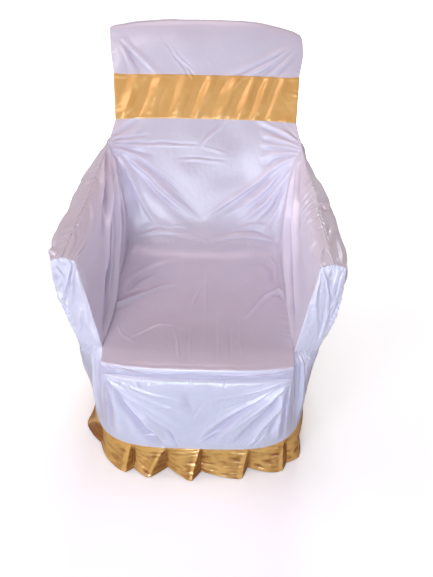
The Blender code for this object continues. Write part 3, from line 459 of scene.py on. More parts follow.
# ================================================================ creases and gathers
# A crease runs smoothly through its points. Columns: its width at its start and at its end and
# its height, in millimetres, a negative height being a trough; the share of its run at which it
# stands highest; and its points, thousandths of the panel from its left or rear edge and from
# its top.
Crease = namedtuple("Crease", "start_width end_width height peak points")
CREASES = {
    "inside_back": (
        # above the band, left shoulder
        (4, 7, 3, 0.5, (60, 110), (120, 180), (180, 225), (250, 280)),
        (5, 9, -2.4, 0.5, (60, 120), (100, 190), (160, 280)),
        (4, 6, 1.6, 0.5, (50, 130), (80, 200), (110, 280)),
        # the sharp pair near the middle
        (2.4, 3, -2, 0.65, (280, 140), (340, 200), (420, 280)),
        (3, 4, 2, 0.65, (300, 160), (360, 220), (430, 280)),
        (2.4, 3, -1.8, 0.7, (320, 180), (380, 230), (450, 280)),
        # the right shoulder's long curved lines
        (3, 6, 2.4, 0.45, (950, 120), (800, 200), (600, 270)),
        (2.6, 4, -2.2, 0.5, (950, 125), (820, 210), (640, 275)),
        (3, 5, 2.4, 0.5, (950, 130), (860, 200), (700, 275)),
        (2.6, 4, -2.2, 0.5, (955, 140), (890, 205), (780, 280)),
        (3, 6, 2.2, 0.5, (960, 140), (900, 210), (820, 280)),
        (3, 5, -1.6, 0.5, (970, 145), (930, 210), (870, 280)),
        # below the band, out of the left pinch
        (3, 5, 2.6, 0.35, (10, 440), (50, 420), (100, 400), (170, 390)),
        (3, 7, -2, 0.4, (10, 450), (80, 435), (140, 410)),
        (2.6, 6, 2.2, 0.4, (10, 455), (100, 455), (170, 420)),
        (2.4, 5, -2.2, 0.35, (10, 460), (90, 465), (200, 460)),
        (2.6, 5, 2.8, 0.35, (10, 465), (80, 475), (200, 475)),
        (2.6, 2.4, -2, 0.3, (10, 475), (140, 497), (300, 502), (480, 510)),
        (3, 3, 1.8, 0.3, (10, 480), (140, 508), (280, 515), (440, 520)),
        (3, 7, -2.2, 0.35, (10, 485), (100, 525), (220, 560)),
        (3, 8, 2.6, 0.35, (10, 490), (90, 540), (200, 590)),
        (5, 5, 3.6, 0.5, (20, 500), (110, 600), (190, 675), (280, 750), (380, 820), (470, 880)),
        (8, 12, -2.6, 0.5, (20, 510), (100, 630), (190, 730), (290, 810), (410, 880)),
        (5, 9, -1.8, 0.45, (20, 500), (120, 575), (240, 660), (380, 765), (470, 845)),
        (4, 7, 2.6, 0.5, (20, 530), (70, 680), (130, 820), (200, 910)),
        (5, 8, -2.6, 0.5, (10, 540), (45, 700), (90, 860)),
        # across the middle
        (2.6, 2.6, -1.1, 0.5, (330, 568), (480, 568), (630, 578)),
        (3, 3, 0.9, 0.5, (340, 580), (480, 580), (620, 590)),
        (2.4, 3, -1.8, 0.5, (460, 512), (530, 455), (620, 395)),
        (3, 4, 2.2, 0.5, (470, 516), (545, 460), (640, 395)),
        (3, 4, 1, 0.4, (480, 515), (550, 530), (620, 550)),
        # out of the right pinch
        (3, 5, 3, 0.4, (990, 450), (900, 425), (770, 395)),
        (3, 7, -2.4, 0.4, (990, 460), (900, 445), (800, 415)),
        (3, 6, 2.4, 0.4, (990, 468), (900, 462), (790, 440)),
        (2.6, 6, -2.2, 0.35, (990, 475), (900, 478), (800, 470)),
        (3, 6, 2.6, 0.35, (990, 483), (900, 490), (790, 495)),
        (2.6, 6, -2.2, 0.35, (990, 490), (910, 505), (810, 525)),
        (3, 6, 2.4, 0.35, (990, 500), (900, 525), (800, 555)),
        (3, 7, -2.4, 0.35, (990, 510), (910, 555), (820, 600)),
        (4, 5, 3.6, 0.5, (990, 520), (900, 600), (790, 690), (680, 760), (580, 820), (490, 875)),
        (6, 11, -2.4, 0.5, (990, 540), (910, 630), (800, 720), (680, 800), (560, 870)),
        (4, 7, 2.6, 0.5, (990, 550), (940, 610), (860, 710), (755, 790), (620, 860)),
        (4, 8, -2.6, 0.5, (990, 570), (940, 660), (860, 760), (760, 840)),
        (4, 6, 2.4, 0.5, (990, 580), (950, 660), (890, 750), (800, 830), (700, 890)),
        (4, 8, -2.4, 0.5, (990, 600), (960, 710), (900, 820), (800, 910)),
        (4, 7, 2.2, 0.5, (990, 620), (970, 730), (930, 840), (860, 920)),
        # crumples where the backrest meets the seat
        (4, 5, 2.6, 0.4, (80, 955), (210, 935), (330, 945), (440, 965), (530, 985)),
        (4, 5, 2.6, 0.4, (950, 965), (820, 955), (700, 955), (600, 975), (530, 985)),
        (4, 6, -2, 0.5, (120, 925), (250, 915), (400, 940)),
        (4, 6, -2, 0.5, (660, 940), (800, 925), (930, 940)),
        (3, 5, 1.6, 0.5, (200, 905), (300, 915), (420, 900)),
        (2.4, 3, 1.6, 0.5, (260, 930), (340, 930), (420, 955)),
        (3, 5, 1.4, 0.5, (720, 915), (840, 890), (920, 900)),
    ),
    "seat_panel": (
        (6.5, 3.5, 6.5, 0.25, (0, 490), (100, 420), (210, 345), (370, 275)),
        (6, 4.5, -2.6, 0.35, (0, 450), (100, 380), (220, 310)),
        (5, 7, 1.8, 0.4, (30, 360), (90, 240), (200, 140), (340, 90)),
        (5, 7, -1.6, 0.4, (40, 400), (120, 270), (240, 180)),
        (3.5, 4.5, 4.2, 0.7, (700, 560), (800, 460), (900, 350), (965, 320)),
        (4, 4, 2.6, 0.4, (940, 310), (975, 335), (985, 400)),
        (4, 4, -1.6, 0.5, (900, 360), (950, 370), (980, 400)),
        (4.5, 4.5, 1.4, 0.5, (920, 60), (950, 140), (955, 240)),
        (6, 6, -1.4, 0.5, (880, 100), (920, 180), (930, 280)),
        (2.5, 3, 1, 0.45, (120, 680), (190, 630), (270, 575), (360, 575), (440, 610)),
        (2.5, 3, 0.7, 0.4, (50, 600), (100, 660), (170, 700)),
        (2.5, 2.5, 1.2, 0.6, (360, 600), (390, 680), (400, 780)),
        (3, 4, 0.6, 0.5, (500, 270), (470, 380), (430, 500)),
        (3, 3, 0.5, 0.5, (520, 100), (530, 400), (540, 720)),
        (2.5, 2.5, 0.5, 0.6, (450, 440), (455, 620), (460, 790)),
        (2.5, 2.5, 0.6, 0.7, (600, 440), (605, 620), (610, 790)),
        (2.5, 2.5, -0.5, 0.7, (660, 500), (665, 660), (670, 790)),
        (2.5, 2.5, 0.5, 0.7, (720, 420), (720, 620), (725, 790)),
        # the welt along the front edge of the seat
        (6, 6, 2.6, 0.5, (10, 842), (250, 842), (500, 842), (750, 842), (990, 842)),
        (20, 20, -4.2, 0.5, (10, 940), (250, 945), (500, 950), (750, 945), (990, 940)),
        # the turned-down lip, dragged at both ends
        (3.5, 4, 1.5, 0.3, (0, 830), (100, 870), (280, 930)),
        (3, 3.5, -1.4, 0.35, (0, 850), (80, 895), (200, 955)),
        (3, 3, 1.3, 0.35, (10, 870), (70, 915), (150, 965)),
        (3, 4, -1.1, 0.35, (40, 845), (180, 885), (360, 920)),
        (3.5, 4, 1.5, 0.3, (1000, 830), (900, 870), (740, 930)),
        (3, 3.5, -1.4, 0.35, (1000, 850), (920, 895), (810, 955)),
        (3, 3, 1.3, 0.35, (990, 870), (930, 915), (860, 965)),
        (3, 4, -1.1, 0.35, (970, 845), (840, 885), (680, 920)),
    ),
    "front_skirt": (
        # it swells out just under the lip
        (14, 14, 0.3, 0.5, (10, 70), (250, 70), (500, 70), (750, 70), (990, 70)),
        # the side seams draw in a trough
        (6, 7, -3, 0.45, (12, 20), (12, 500), (12, 960)),
        (6, 8, -4, 0.5, (990, 20), (990, 500), (990, 960)),
        (6, 9, 2.4, 0.5, (50, 40), (55, 450), (60, 920)),
        (5, 8, 2.8, 0.5, (950, 100), (950, 500), (950, 920)),
        # the long drag lines and the broad valley out of the upper left corner
        (4, 9, 2.6, 0.3, (30, 40), (100, 170), (200, 330), (320, 500), (420, 660)),
        (6, 18, -8.5, 0.5, (30, 80), (100, 330), (200, 620), (320, 980)),
        (7, 15, 6, 0.55, (70, 220), (180, 460), (300, 740), (380, 980)),
        (3, 5, 1.8, 0.35, (40, 30), (170, 180), (320, 320), (480, 480)),
        (3, 6, 1.4, 0.4, (50, 20), (180, 110), (340, 200), (500, 280)),
        (3, 4, -1.8, 0.6, (300, 580), (360, 760), (400, 970)),
        # fine drag lines out of the upper right corner
        (4, 9, 2.4, 0.4, (980, 30), (840, 180), (680, 400), (560, 660), (490, 920)),
        (6, 16, -5.2, 0.5, (970, 50), (860, 220), (700, 480), (540, 900)),
        (4, 8, 2, 0.45, (980, 60), (890, 250), (780, 470), (660, 740)),
        (5, 12, -3.6, 0.5, (980, 90), (910, 330), (810, 580), (700, 900)),
        (4, 8, 2.6, 0.5, (980, 140), (940, 400), (860, 660), (790, 920)),
        (4, 6, -2.8, 0.5, (980, 200), (950, 500), (900, 800)),
        (2.5, 5, 1.2, 0.35, (980, 30), (840, 90), (680, 170), (540, 240)),
        (2, 4, -1, 0.4, (970, 40), (860, 140), (720, 270), (600, 380)),
        (2, 3, 0.8, 0.4, (960, 50), (860, 160), (750, 280)),
        (3, 4, 0.9, 0.5, (720, 400), (620, 560), (540, 720)),
        # fine slack in the middle and at the hem
        (8, 12, -1.6, 0.5, (430, 100), (450, 280), (470, 460)),
        (2, 2.6, -0.9, 0.5, (520, 260), (490, 380), (460, 500)),
        (2, 2.6, 0.9, 0.5, (540, 270), (510, 390), (480, 520)),
        (2.5, 3, 0.9, 0.5, (100, 720), (220, 750), (340, 730)),
        (2.5, 3, -0.9, 0.5, (140, 800), (280, 820), (420, 790)),
        (2.5, 3, 0.8, 0.5, (440, 660), (560, 620), (680, 640)),
        (2.5, 3, 0.8, 0.5, (180, 300), (300, 330), (420, 320)),
        (2.5, 3.5, 1.4, 0.5, (500, 880), (570, 780), (660, 660)),
        (2, 3, 1.6, 0.5, (770, 970), (800, 870), (840, 760)),
        (2, 3, -1.6, 0.5, (810, 970), (840, 860), (880, 740)),
        # small dimples under the lip seam
        (2.5, 3, -1.4, 0.5, (90, 30), (95, 80), (100, 130)),
        (2.5, 3, -1.3, 0.5, (135, 30), (140, 80), (150, 130)),
        (2.5, 3, 1, 0.5, (165, 30), (170, 70), (175, 110)),
        (3, 4, -1.4, 0.5, (195, 30), (200, 80), (205, 130)),
        (3, 4, 1, 0.5, (240, 30), (245, 70), (250, 110)),
    ),
    "inner_arm_left": (
        # long folds that fall from the pinch to the front of the seat
        (8, 13, 4, 0.4, (80, 10), (180, 40), (300, 90), (420, 130)),
        (9, 20, -9, 0.35, (40, 20), (150, 90), (240, 150), (400, 260), (550, 400)),
        (
            8, 17, 9, 0.35, (10, 30), (70, 90), (160, 160), (250, 240),
            (370, 370), (480, 520), (620, 680),
        ),
        (
            7, 12, -9, 0.4, (40, 100), (170, 230), (270, 390), (380, 550),
            (500, 700), (630, 810), (780, 890), (940, 950),
        ),
        (
            9, 10, 13, 0.45, (0, 110), (100, 220), (170, 400), (250, 590), (370, 750),
            (500, 870), (650, 940), (820, 970), (970, 980),
        ),
        (7, 9, -7, 0.4, (10, 240), (100, 400), (170, 580), (250, 770), (390, 890)),
        (7, 8, 8, 0.5, (20, 380), (90, 570), (150, 750), (230, 890), (360, 960)),
        # the soft patch on top of the arm and the corner behind its front
        (4, 7, 2.4, 0.4, (500, 20), (560, 90), (650, 140), (760, 150)),
        (4, 4, 2.4, 0.6, (660, 140), (800, 180), (970, 200)),
        (4, 5, -1.8, 0.5, (740, 20), (860, 100), (970, 130)),
    ),
    "inner_arm_right": (
        (8, 18, -7, 0.4, (60, 70), (180, 180), (320, 280), (440, 400)),
        (
            8, 17, 8, 0.4, (20, 100), (150, 200), (270, 350), (390, 500),
            (520, 640), (660, 760), (820, 860),
        ),
        (7, 12, -9, 0.45, (10, 150), (140, 270), (250, 460), (400, 650), (600, 800), (820, 900)),
        (
            9, 10, 13, 0.45, (10, 200), (100, 350), (180, 520), (290, 680),
            (430, 820), (590, 900), (770, 950), (940, 975),
        ),
        (7, 9, -6, 0.45, (10, 300), (80, 480), (150, 660), (250, 820), (400, 910)),
        (7, 8, 8, 0.45, (20, 420), (90, 610), (160, 800), (300, 920), (460, 970)),
        # gathers of the arm seam
        (2, 4, 1, 0.35, (300, 20), (290, 90), (260, 150)),
        (2, 4, 1.8, 0.35, (350, 20), (340, 100), (310, 190)),
        (2, 5, 2, 0.35, (410, 20), (390, 120), (360, 240)),
        (2, 5, 2.2, 0.35, (470, 20), (440, 120), (410, 240)),
        (2, 5, 2, 0.35, (530, 20), (510, 120), (480, 240)),
        (3, 7, 1.3, 0.35, (600, 20), (580, 110), (560, 230)),
        (7, 12, 1.4, 0.4, (770, 50), (770, 250), (720, 460)),
        (2, 2, 1.8, 0.5, (870, 60), (930, 20), (990, 20)),
        (3, 3, -2.4, 0.5, (870, 60), (920, 120), (990, 170)),
        (2, 2, 1.8, 0.5, (860, 70), (910, 160), (980, 230)),
    ),
    "outer_arm_left": (
        (4, 4.5, 2.2, 0.5, (100, 100), (240, 80), (380, 60)),
        (16, 22, 9, 0.7, (460, 580), (700, 660), (970, 620)),
        (12, 16, -7, 0.6, (550, 800), (780, 840), (980, 800)),
        (14, 22, 6, 0.5, (140, 100), (180, 450), (200, 880)),
        (10, 18, -4, 0.5, (300, 120), (360, 450), (340, 850)),
        (4.5, 10, 3, 0.4, (970, 100), (900, 300), (800, 460)),
        (4, 7, 3.4, 0.4, (980, 450), (880, 520), (740, 540)),
    ),
    "outer_arm_right": (
        (3, 5, 2.4, 0.45, (500, 20), (470, 100), (440, 180)),
        (3, 4.5, -2.2, 0.45, (540, 20), (510, 110), (480, 200)),
        (4, 5, 1.6, 0.45, (660, 20), (670, 60), (690, 110)),
        (7, 9, 1.4, 0.4, (820, 20), (740, 100), (620, 170)),
        (5, 6, -1.6, 0.4, (780, 20), (710, 60), (620, 90)),
        (6, 6, 2.6, 0.5, (760, 150), (880, 160), (990, 150)),
        (4, 4, 1.8, 0.5, (880, 30), (930, 80), (990, 120)),
        (20, 28, 8, 0.6, (440, 440), (700, 520), (960, 480)),
        (14, 22, 6, 0.5, (180, 100), (220, 450), (260, 880)),
        (10, 18, -4, 0.5, (360, 140), (400, 450), (380, 850)),
        (4, 7, 3, 0.5, (970, 250), (880, 420), (820, 640)),
    ),
    "arm_front_left": (
        (2.5, 4, 5, 0.45, (20, 10), (310, 220), (560, 430), (800, 560)),
        (2, 3, -4, 0.5, (60, 10), (400, 220), (660, 400), (840, 500)),
        (2, 3, 3, 0.5, (140, 20), (550, 280), (860, 440)),
        (2, 2, 3, 0.5, (840, 60), (700, 130), (550, 210)),
        (2, 2, 2.8, 0.5, (900, 300), (740, 270), (580, 250)),
        (3, 3, -2.8, 0.5, (970, 140), (840, 200), (700, 240)),
        (3, 4, 3.8, 0.4, (310, 540), (550, 700), (800, 860)),
        (4.5, 6, 3.4, 0.5, (20, 50), (120, 400), (220, 730), (180, 960)),
        (4, 3, 4, 0.5, (970, 340), (900, 440), (840, 520)),
        (3, 2, -3.4, 0.5, (950, 540), (880, 600), (780, 600)),
    ),
    "arm_front_right": (
        (2.5, 4, 5, 0.5, (50, 20), (380, 200), (580, 410), (700, 660), (860, 900)),
        (3, 3, -3.8, 0.5, (120, 20), (460, 200), (660, 380), (800, 620)),
        (4, 5, 4, 0.5, (660, 20), (660, 140), (600, 280), (660, 420)),
        (4, 4, -3, 0.5, (440, 60), (500, 140), (540, 240)),
        (4, 5, 3.6, 0.45, (20, 60), (200, 400), (420, 640), (660, 820)),
        (3, 4, 3, 0.5, (860, 30), (850, 220), (770, 400)),
        (3, 3, 3.4, 0.4, (770, 400), (720, 520), (700, 640)),
        (3, 4, -3, 0.5, (920, 300), (900, 480), (840, 660)),
    ),
    "side_skirt_left": (
        (2, 5, 3.6, 0.3, (210, 10), (250, 100), (320, 240)),
        (2, 4.5, 3, 0.3, (170, 10), (190, 100), (220, 200)),
        (2, 5, 3.2, 0.3, (250, 10), (300, 90), (380, 170)),
        (2, 4.5, 2.4, 0.3, (130, 20), (140, 120), (140, 240)),
        (6, 14, 4, 0.5, (180, 140), (190, 500), (170, 900)),
        (5, 12, -3.4, 0.5, (100, 200), (110, 550), (100, 920)),
        (40, 44, 9, 0.5, (450, 20), (460, 500), (450, 980)),
        (18, 26, 8, 0.6, (720, 50), (760, 500), (800, 980)),
        (12, 18, -5, 0.6, (620, 60), (640, 500), (660, 980)),
        (12, 16, -4, 0.6, (880, 50), (900, 500), (920, 960)),
    ),
    "side_skirt_right": (
        (4.5, 12, 4.6, 0.45, (140, 40), (170, 300), (170, 600), (150, 950)),
        (4.5, 10, -3.6, 0.5, (80, 60), (90, 400), (80, 900)),
        (5, 8, 2.4, 0.35, (280, 50), (250, 280), (210, 500)),
        (5, 6, 1.4, 0.5, (210, 60), (260, 130), (330, 140)),
        (4.5, 12, -3.4, 0.5, (250, 450), (250, 700), (220, 950)),
        (14, 18, 4, 0.5, (240, 50), (220, 500), (200, 950)),
        (18, 26, 7, 0.6, (540, 50), (510, 500), (480, 980)),
        (18, 26, 8, 0.6, (800, 50), (770, 500), (740, 980)),
        (12, 18, -5, 0.6, (670, 50), (640, 500), (620, 980)),
    ),
    "outside_back": (
        (12, 28, 9, 0.6, (300, 50), (350, 350), (360, 970)),
        (12, 24, -5, 0.65, (420, 100), (430, 500), (420, 970)),
        (12, 24, 7, 0.7, (500, 140), (500, 500), (510, 970)),
        (12, 24, -5, 0.65, (570, 100), (570, 500), (560, 970)),
        (12, 28, 9, 0.6, (700, 50), (650, 350), (620, 970)),
        (10, 22, -5, 0.6, (240, 100), (220, 450), (200, 970)),
        (10, 22, -5, 0.6, (760, 100), (780, 450), (800, 970)),
        (6, 20, 7, 0.6, (30, 340), (80, 600), (100, 970)),
        (6, 20, 7, 0.6, (970, 340), (920, 600), (900, 970)),
        (4.5, 16, 5, 0.3, (20, 310), (120, 420), (260, 600)),
        (4.5, 16, 5, 0.3, (980, 310), (880, 420), (740, 600)),
        (4, 12, 3, 0.35, (260, 30), (360, 120), (460, 300)),
        (4, 12, 3, 0.35, (740, 30), (640, 120), (540, 300)),
    ),
}

# Short gathers along a seam. Columns: the panel's edges (top, foot, start, end) that have them;
# the shares of an edge's length from which and to which they run; their mean spacing, how far
# they reach into the panel and their height, in millimetres; and how they lean along the seam.
Gathers = namedtuple("Gathers", "edge low high pitch reach height slant")
GATHERS = {
    "inside_back": (
        ("start end", 0.42, 0.55, 7, 24, 1.3, 0.0),
        ("start", 0.02, 0.26, 16, 9, 0.6, 0.5),
        ("end", 0.02, 0.42, 14, 9, 0.7, 0.5),
        ("start end", 0.60, 0.98, 18, 12, 0.8, 0.4),
        ("foot", 0.03, 0.97, 26, 12, 0.4, 0.0),
    ),
    "seat_panel": (
        ("foot", 0.02, 0.98, 24, 8, 0.5, 0.4),
        ("start end", 0.05, 0.72, 18, 12, 0.8, 0.5),
    ),
    "front_skirt": (
        ("top", 0.02, 0.98, 13, 12, 0.3, 0.3),
        ("start", 0.02, 0.98, 17, 9, 0.8, 0.5),
        ("end", 0.02, 0.98, 15, 10, 0.9, 0.5),
        ("foot", 0.02, 0.98, 15, 10, 0.8, 0.0),
    ),
    "inner_arm_left": (
        ("top", 0.04, 0.96, 15, 14, 1.3, 0.4),
        ("end", 0.05, 0.95, 14, 8, 0.6, 0.4),
    ),
    "inner_arm_right": (
        ("top", 0.10, 0.80, 13, 18, 1.1, 0.7),
        ("end", 0.05, 0.95, 14, 8, 0.6, 0.4),
    ),
    "outer_arm_left": (
        ("top", 0.10, 0.98, 15, 22, 2.6, -0.3),
        ("end", 0.05, 0.95, 16, 12, 1.2, 0.3),
        ("foot", 0.03, 0.97, 14, 16, 1.4, 0.2),
        ("start", 0.05, 0.95, 16, 12, 1.2, 0.3),
    ),
    "outer_arm_right": (
        ("top", 0.20, 0.90, 15, 18, 1.8, -0.5),
        ("end", 0.05, 0.95, 16, 12, 1.2, 0.3),
        ("foot", 0.03, 0.97, 14, 16, 1.4, 0.2),
        ("start", 0.05, 0.95, 16, 12, 1.2, 0.3),
    ),
    "arm_front": (
        ("top", 0.04, 0.96, 8, 10, 1.2, 0.2),
        ("foot", 0.05, 0.95, 9, 10, 0.9, 0.0),
        ("end", 0.04, 0.96, 14, 9, 1.0, 0.4),
    ),
    "side_skirt": (
        ("top", 0.05, 0.97, 13, 20, 0.9, 0.4),
        ("foot", 0.02, 0.98, 15, 10, 0.8, 0.0),
        ("start", 0.15, 0.98, 17, 9, 0.8, 0.5),
    ),
    "outside_back": (
        ("start end", 0.22, 0.38, 9, 30, 0.8, 0.3),
        ("start end", 0.02, 0.98, 20, 12, 0.9, 0.5),
        ("top", 0.02, 0.98, 22, 12, 0.7, 0.3),
        ("foot", 0.02, 0.98, 18, 12, 0.9, 0.0),
    ),
}

# Folds that spread from a pinch: its place as shares of the panel across and down, the turn
# they fill in degrees clockwise from the panel's left-to-right line, how many, their reach and
# height in millimetres.
Fan = namedtuple("Fan", "place turn folds reach height")
FANS = {
    "inside_back": (
        Fan((-0.03, 0.475), (-50, 70), 9, 60, 1.6),
        Fan((1.035, 0.475), (112, 244), 11, 65, 1.7),
    ),
    "inner_arm": (Fan((-0.04, -0.06), (18, 100), 12, 90, 1.0),),
    "outside_back": (
        Fan((-0.02, 0.30), (-70, 80), 8, 120, 1.4),
        Fan((1.02, 0.30), (100, 250), 8, 120, 1.4),
    ),
    "side_skirt_left": (Fan((0.14, -0.03), (40, 140), 7, 90, 1.4),),
    "side_skirt_right": (Fan((0.16, -0.03), (40, 140), 7, 90, 0.7),),
    "front_skirt": (
        Fan((-0.02, -0.02), (8, 88), 8, 130, 1.0),
        Fan((1.02, -0.02), (92, 172), 9, 150, 1.2),
    ),
}

# Slack of each panel: broad swells and small crinkles, heights in millimetres, and how deep its
# creases are against their table.
Slack = namedtuple("Slack", "swell crinkle depth")
SLACK = {
    "inside_back": Slack(0.9, 0.05, 1.1),
    "seat_panel": Slack(0.5, 0.06, 1.6),
    "front_skirt": Slack(0.9, 0.16, 1.7),
    "inner_arm_left": Slack(0.9, 0.10, 1.2),
    "inner_arm_right": Slack(0.9, 0.10, 1.15),
    "outer_arm_left": Slack(2.0, 0.25, 1.5),
    "outer_arm_right": Slack(2.0, 0.25, 1.1),
    "arm_front_left": Slack(0.9, 0.14, 1.0),
    "arm_front_right": Slack(0.9, 0.14, 0.65),
    "side_skirt": Slack(1.4, 0.18, 1.5),
    "outside_back": Slack(2.0, 0.15, 1.0),
}

MM = 0.001
FLANK = 1.5             # how steeply the flanks of folds, gathers and seam dips fall away
CREST_DIP = (0.22, 1.9, 1.5)    # beside a crest: depth of the dip, how far out, how narrow
CREASE_STEPS = 24       # straight steps of a crease's path
CREASE_CALM = 0.003     # creases die out over this distance from a seam
CREASE_LEAN = 0.3       # a crease is this much wider on its flatter side
CREASE_UNEVEN = 0.2     # and changes in height by this much
CREASE_CHANGES = 1.4    # so many times along its run
CREASE_FULL = 0.8       # below 1 it keeps its height for longer
WANDER = 0.0007         # creases wander off their lines by about this much
WANDER_SIZE = (0.030, 0.080)    # over wavelengths in this range
SWELL_CALM = 0.022      # broad swells die out over this distance from a seam
SWELL_SIZE = (0.060, 0.150)     # wavelengths of the broad swells
CRINKLE_SIZE = (0.008, 0.022)   # and of the small crinkles
WAVES = 26              # waves summed for either
WAVE_BENDS = ((1.6, 3.7), (1.1, 7.3))   # a gather's phase bends by this, over so many waves
WAVE_TALL = (0.65, 0.35, 2.9)   # its mean height, the change in it, over so many waves
GATHER_START = 0.15     # share of their span, and of their reach, over which gathers begin
FAN_GROWTH = 4          # a fan's folds stand highest at one over this of their reach
FAN_UNEVEN = 0.35       # their reach differs by this share
FAN_RIPPLES = (9.0, 23.0)       # how fast it changes across the fan, in radians
FAN_SHIFT = 6           # and the most that the change is shifted
FAN_SIDES = 0.1         # share of its turn over which a fan begins and ends


def row_of(table, name, default=None):
    """A panel's row of a table: its own, or else the one that serves both sides."""
    both_sides = name.rsplit("_", 1)[0]
    return table.get(name, table.get(both_sides, default))


def smooth_step(x):
    """0 below 0, 1 above 1 and a smooth rise between."""
    x = np.clip(x, 0.0, 1.0)
    return x * x * (3 - 2 * x)


def nearest_on(path, x, y):
    """Share of the way along a path, and the distance to its left or right, for every point."""
    best = np.full(x.shape, np.inf)
    along = np.zeros(x.shape)
    side = np.ones(x.shape)
    steps = len(path) - 1
    for k in range(steps):
        (ax, ay), (bx, by) = path[k], path[k + 1]
        dx, dy = bx - ax, by - ay
        t = np.clip(((x - ax) * dx + (y - ay) * dy) / (dx * dx + dy * dy), 0.0, 1.0)
        off = np.hypot(x - ax - t * dx, y - ay - t * dy)
        nearer = off < best
        best = np.where(nearer, off, best)
        along = np.where(nearer, (k + t) / steps, along)
        side = np.where(nearer, np.sign((x - ax) * dy - (y - ay) * dx), side)
    return along, best * side


def fold_profile(q):
    """A crest with soft flanks and a slight dip beyond them."""
    reach = np.abs(q)
    deep, place, narrow = CREST_DIP
    return np.exp(-reach ** FLANK) - deep * np.exp(-narrow * (reach - place) ** 2)


def crease_relief(crease, x, y, wide, tall, rng):
    """A soft ridge, steeper on one side, with a slight dip on each side, or the reverse."""
    path = line_through(np.array(crease.points) / 1000 * (wide, tall), CREASE_STEPS)
    along, off = nearest_on(path, x, y)
    width = (crease.start_width + (crease.end_width - crease.start_width) * along) * MM
    q = off / (width * (1 + CREASE_LEAN * rng.choice((-1, 1)) * np.sign(off)))
    swell = np.sin(np.pi * np.clip(along, 0, 1) ** (np.log(0.5) / np.log(crease.peak)))
    uneven = 1 + CREASE_UNEVEN * np.sin(2 * np.pi * (CREASE_CHANGES * along + rng.uniform()))
    return crease.height * MM * np.maximum(swell, 0) ** CREASE_FULL * uneven * fold_profile(q)


def uneven_wave(run, pitch, rng):
    """A smooth wave along a line whose spacing and height keep changing, about -1 to 1."""
    bends = rng.uniform(0, 2 * np.pi, 3)
    phase = 2 * np.pi * run / pitch
    (near, short), (far, long) = WAVE_BENDS
    phase = phase + near * np.sin(phase / short + bends[0]) + far * np.sin(phase / long + bends[1])
    mean, change, slow = WAVE_TALL
    tall = mean + change * np.sin(phase / slow + bends[2])
    return tall * np.sin(phase)


def gathers_of(rows):
    """Gathers for each edge that the rows name."""
    return [Gathers(edge, *row[1:]) for row in rows for edge in row[0].split()]


def gather_relief(gathers, x, y, wide, tall, rng):
    """Small folds that start at a seam and fade into the panel."""
    run, depth, length = {
        "top": (x, y, wide),
        "foot": (x, tall - y, wide),
        "start": (y, x, tall),
        "end": (y, wide - x, tall),
    }[gathers.edge]
    low, high = gathers.low * length, gathers.high * length
    ends = np.clip(np.minimum(run - low, high - run) / (GATHER_START * (high - low)), 0, 1)
    reach = gathers.reach * MM
    wave = uneven_wave(run + gathers.slant * depth, gathers.pitch * MM, rng)
    fade = np.exp(-(depth / reach) ** FLANK) * smooth_step(depth / (GATHER_START * reach))
    return gathers.height * MM * wave * fade * smooth_step(ends)


def fan_relief(fan, x, y, wide, tall, rng):
    """Folds that spread from one place, growing as they open and then dying out."""
    dx, dy = x - fan.place[0] * wide, y - fan.place[1] * tall
    low, high = fan.turn
    turn = (np.degrees(np.arctan2(dy, dx)) - low) % 360
    share = turn / (high - low)
    distance = np.hypot(dx, dy) / (fan.reach * MM)
    slow, fast = FAN_RIPPLES
    shift = rng.uniform(0, FAN_SHIFT)
    own = 1 + FAN_UNEVEN * np.sin(slow * share + shift) * np.sin(fast * share)
    grow = FAN_GROWTH * distance / own
    wave = uneven_wave(share, 1 / fan.folds, rng)
    sides = smooth_step(share / FAN_SIDES) * smooth_step((1 - share) / FAN_SIDES) * (share < 1)
    return fan.height * MM * wave * grow * np.exp(1 - grow) * sides


def random_waves(x, y, sizes, rng):
    """Smooth unevenness from many waves of random direction, about -1 to 1."""
    total = np.zeros(x.shape)
    for _ in range(WAVES):
        turn = rng.uniform(0, np.pi)
        number = 2 * np.pi / rng.uniform(*sizes)
        phase = rng.uniform(0, 2 * np.pi)
        total += np.cos(number * (x * np.cos(turn) + y * np.sin(turn)) + phase)
    return total / np.sqrt(WAVES)


def plan_of(grid):
    """Each grid point's place on its panel laid flat, and the panel's mean width and length."""
    down = np.append(0.0, np.cumsum(np.linalg.norm(np.diff(grid, axis=0), axis=2).mean(axis=1)))
    across = np.append(0.0, np.cumsum(np.linalg.norm(np.diff(grid, axis=1), axis=2).mean(axis=0)))
    y, x = np.meshgrid(down, across, indexing="ij")
    return x, y, across[-1], down[-1]


def relief_of(name, grid, seed):
    """How far each point of a panel stands off its smooth shape, and the folds' part of it."""
    rng = np.random.default_rng(seed)
    _, _, wide, tall = plan_of(grid)
    v, u = shares(grid.shape[0] - 1, grid.shape[1] - 1)
    x, y = np.broadcast_arrays(u[..., 0] * wide, v[..., 0] * tall)
    edge = np.minimum(np.minimum(x, wide - x), np.minimum(y, tall - y))
    slack = row_of(SLACK, name)
    relief = slack.swell * MM * random_waves(x, y, SWELL_SIZE, rng)
    relief *= smooth_step(edge / SWELL_CALM)
    folds = slack.crinkle * MM * random_waves(x, y, CRINKLE_SIZE, rng)
    bent_x = x + WANDER * random_waves(x, y, WANDER_SIZE, rng)
    bent_y = y + WANDER * random_waves(x, y, WANDER_SIZE, rng)
    for row in CREASES[name]:
        crease = Crease(*row[:4], points=row[4:])
        folds += slack.depth * crease_relief(crease, bent_x, bent_y, wide, tall, rng)
    for fan in row_of(FANS, name, ()):
        folds += fan_relief(fan, bent_x, bent_y, wide, tall, rng)
    folds *= smooth_step(edge / CREASE_CALM)
    for gathers in gathers_of(row_of(GATHERS, name)):
        folds += gather_relief(gathers, x, y, wide, tall, rng)
    return relief + folds, folds


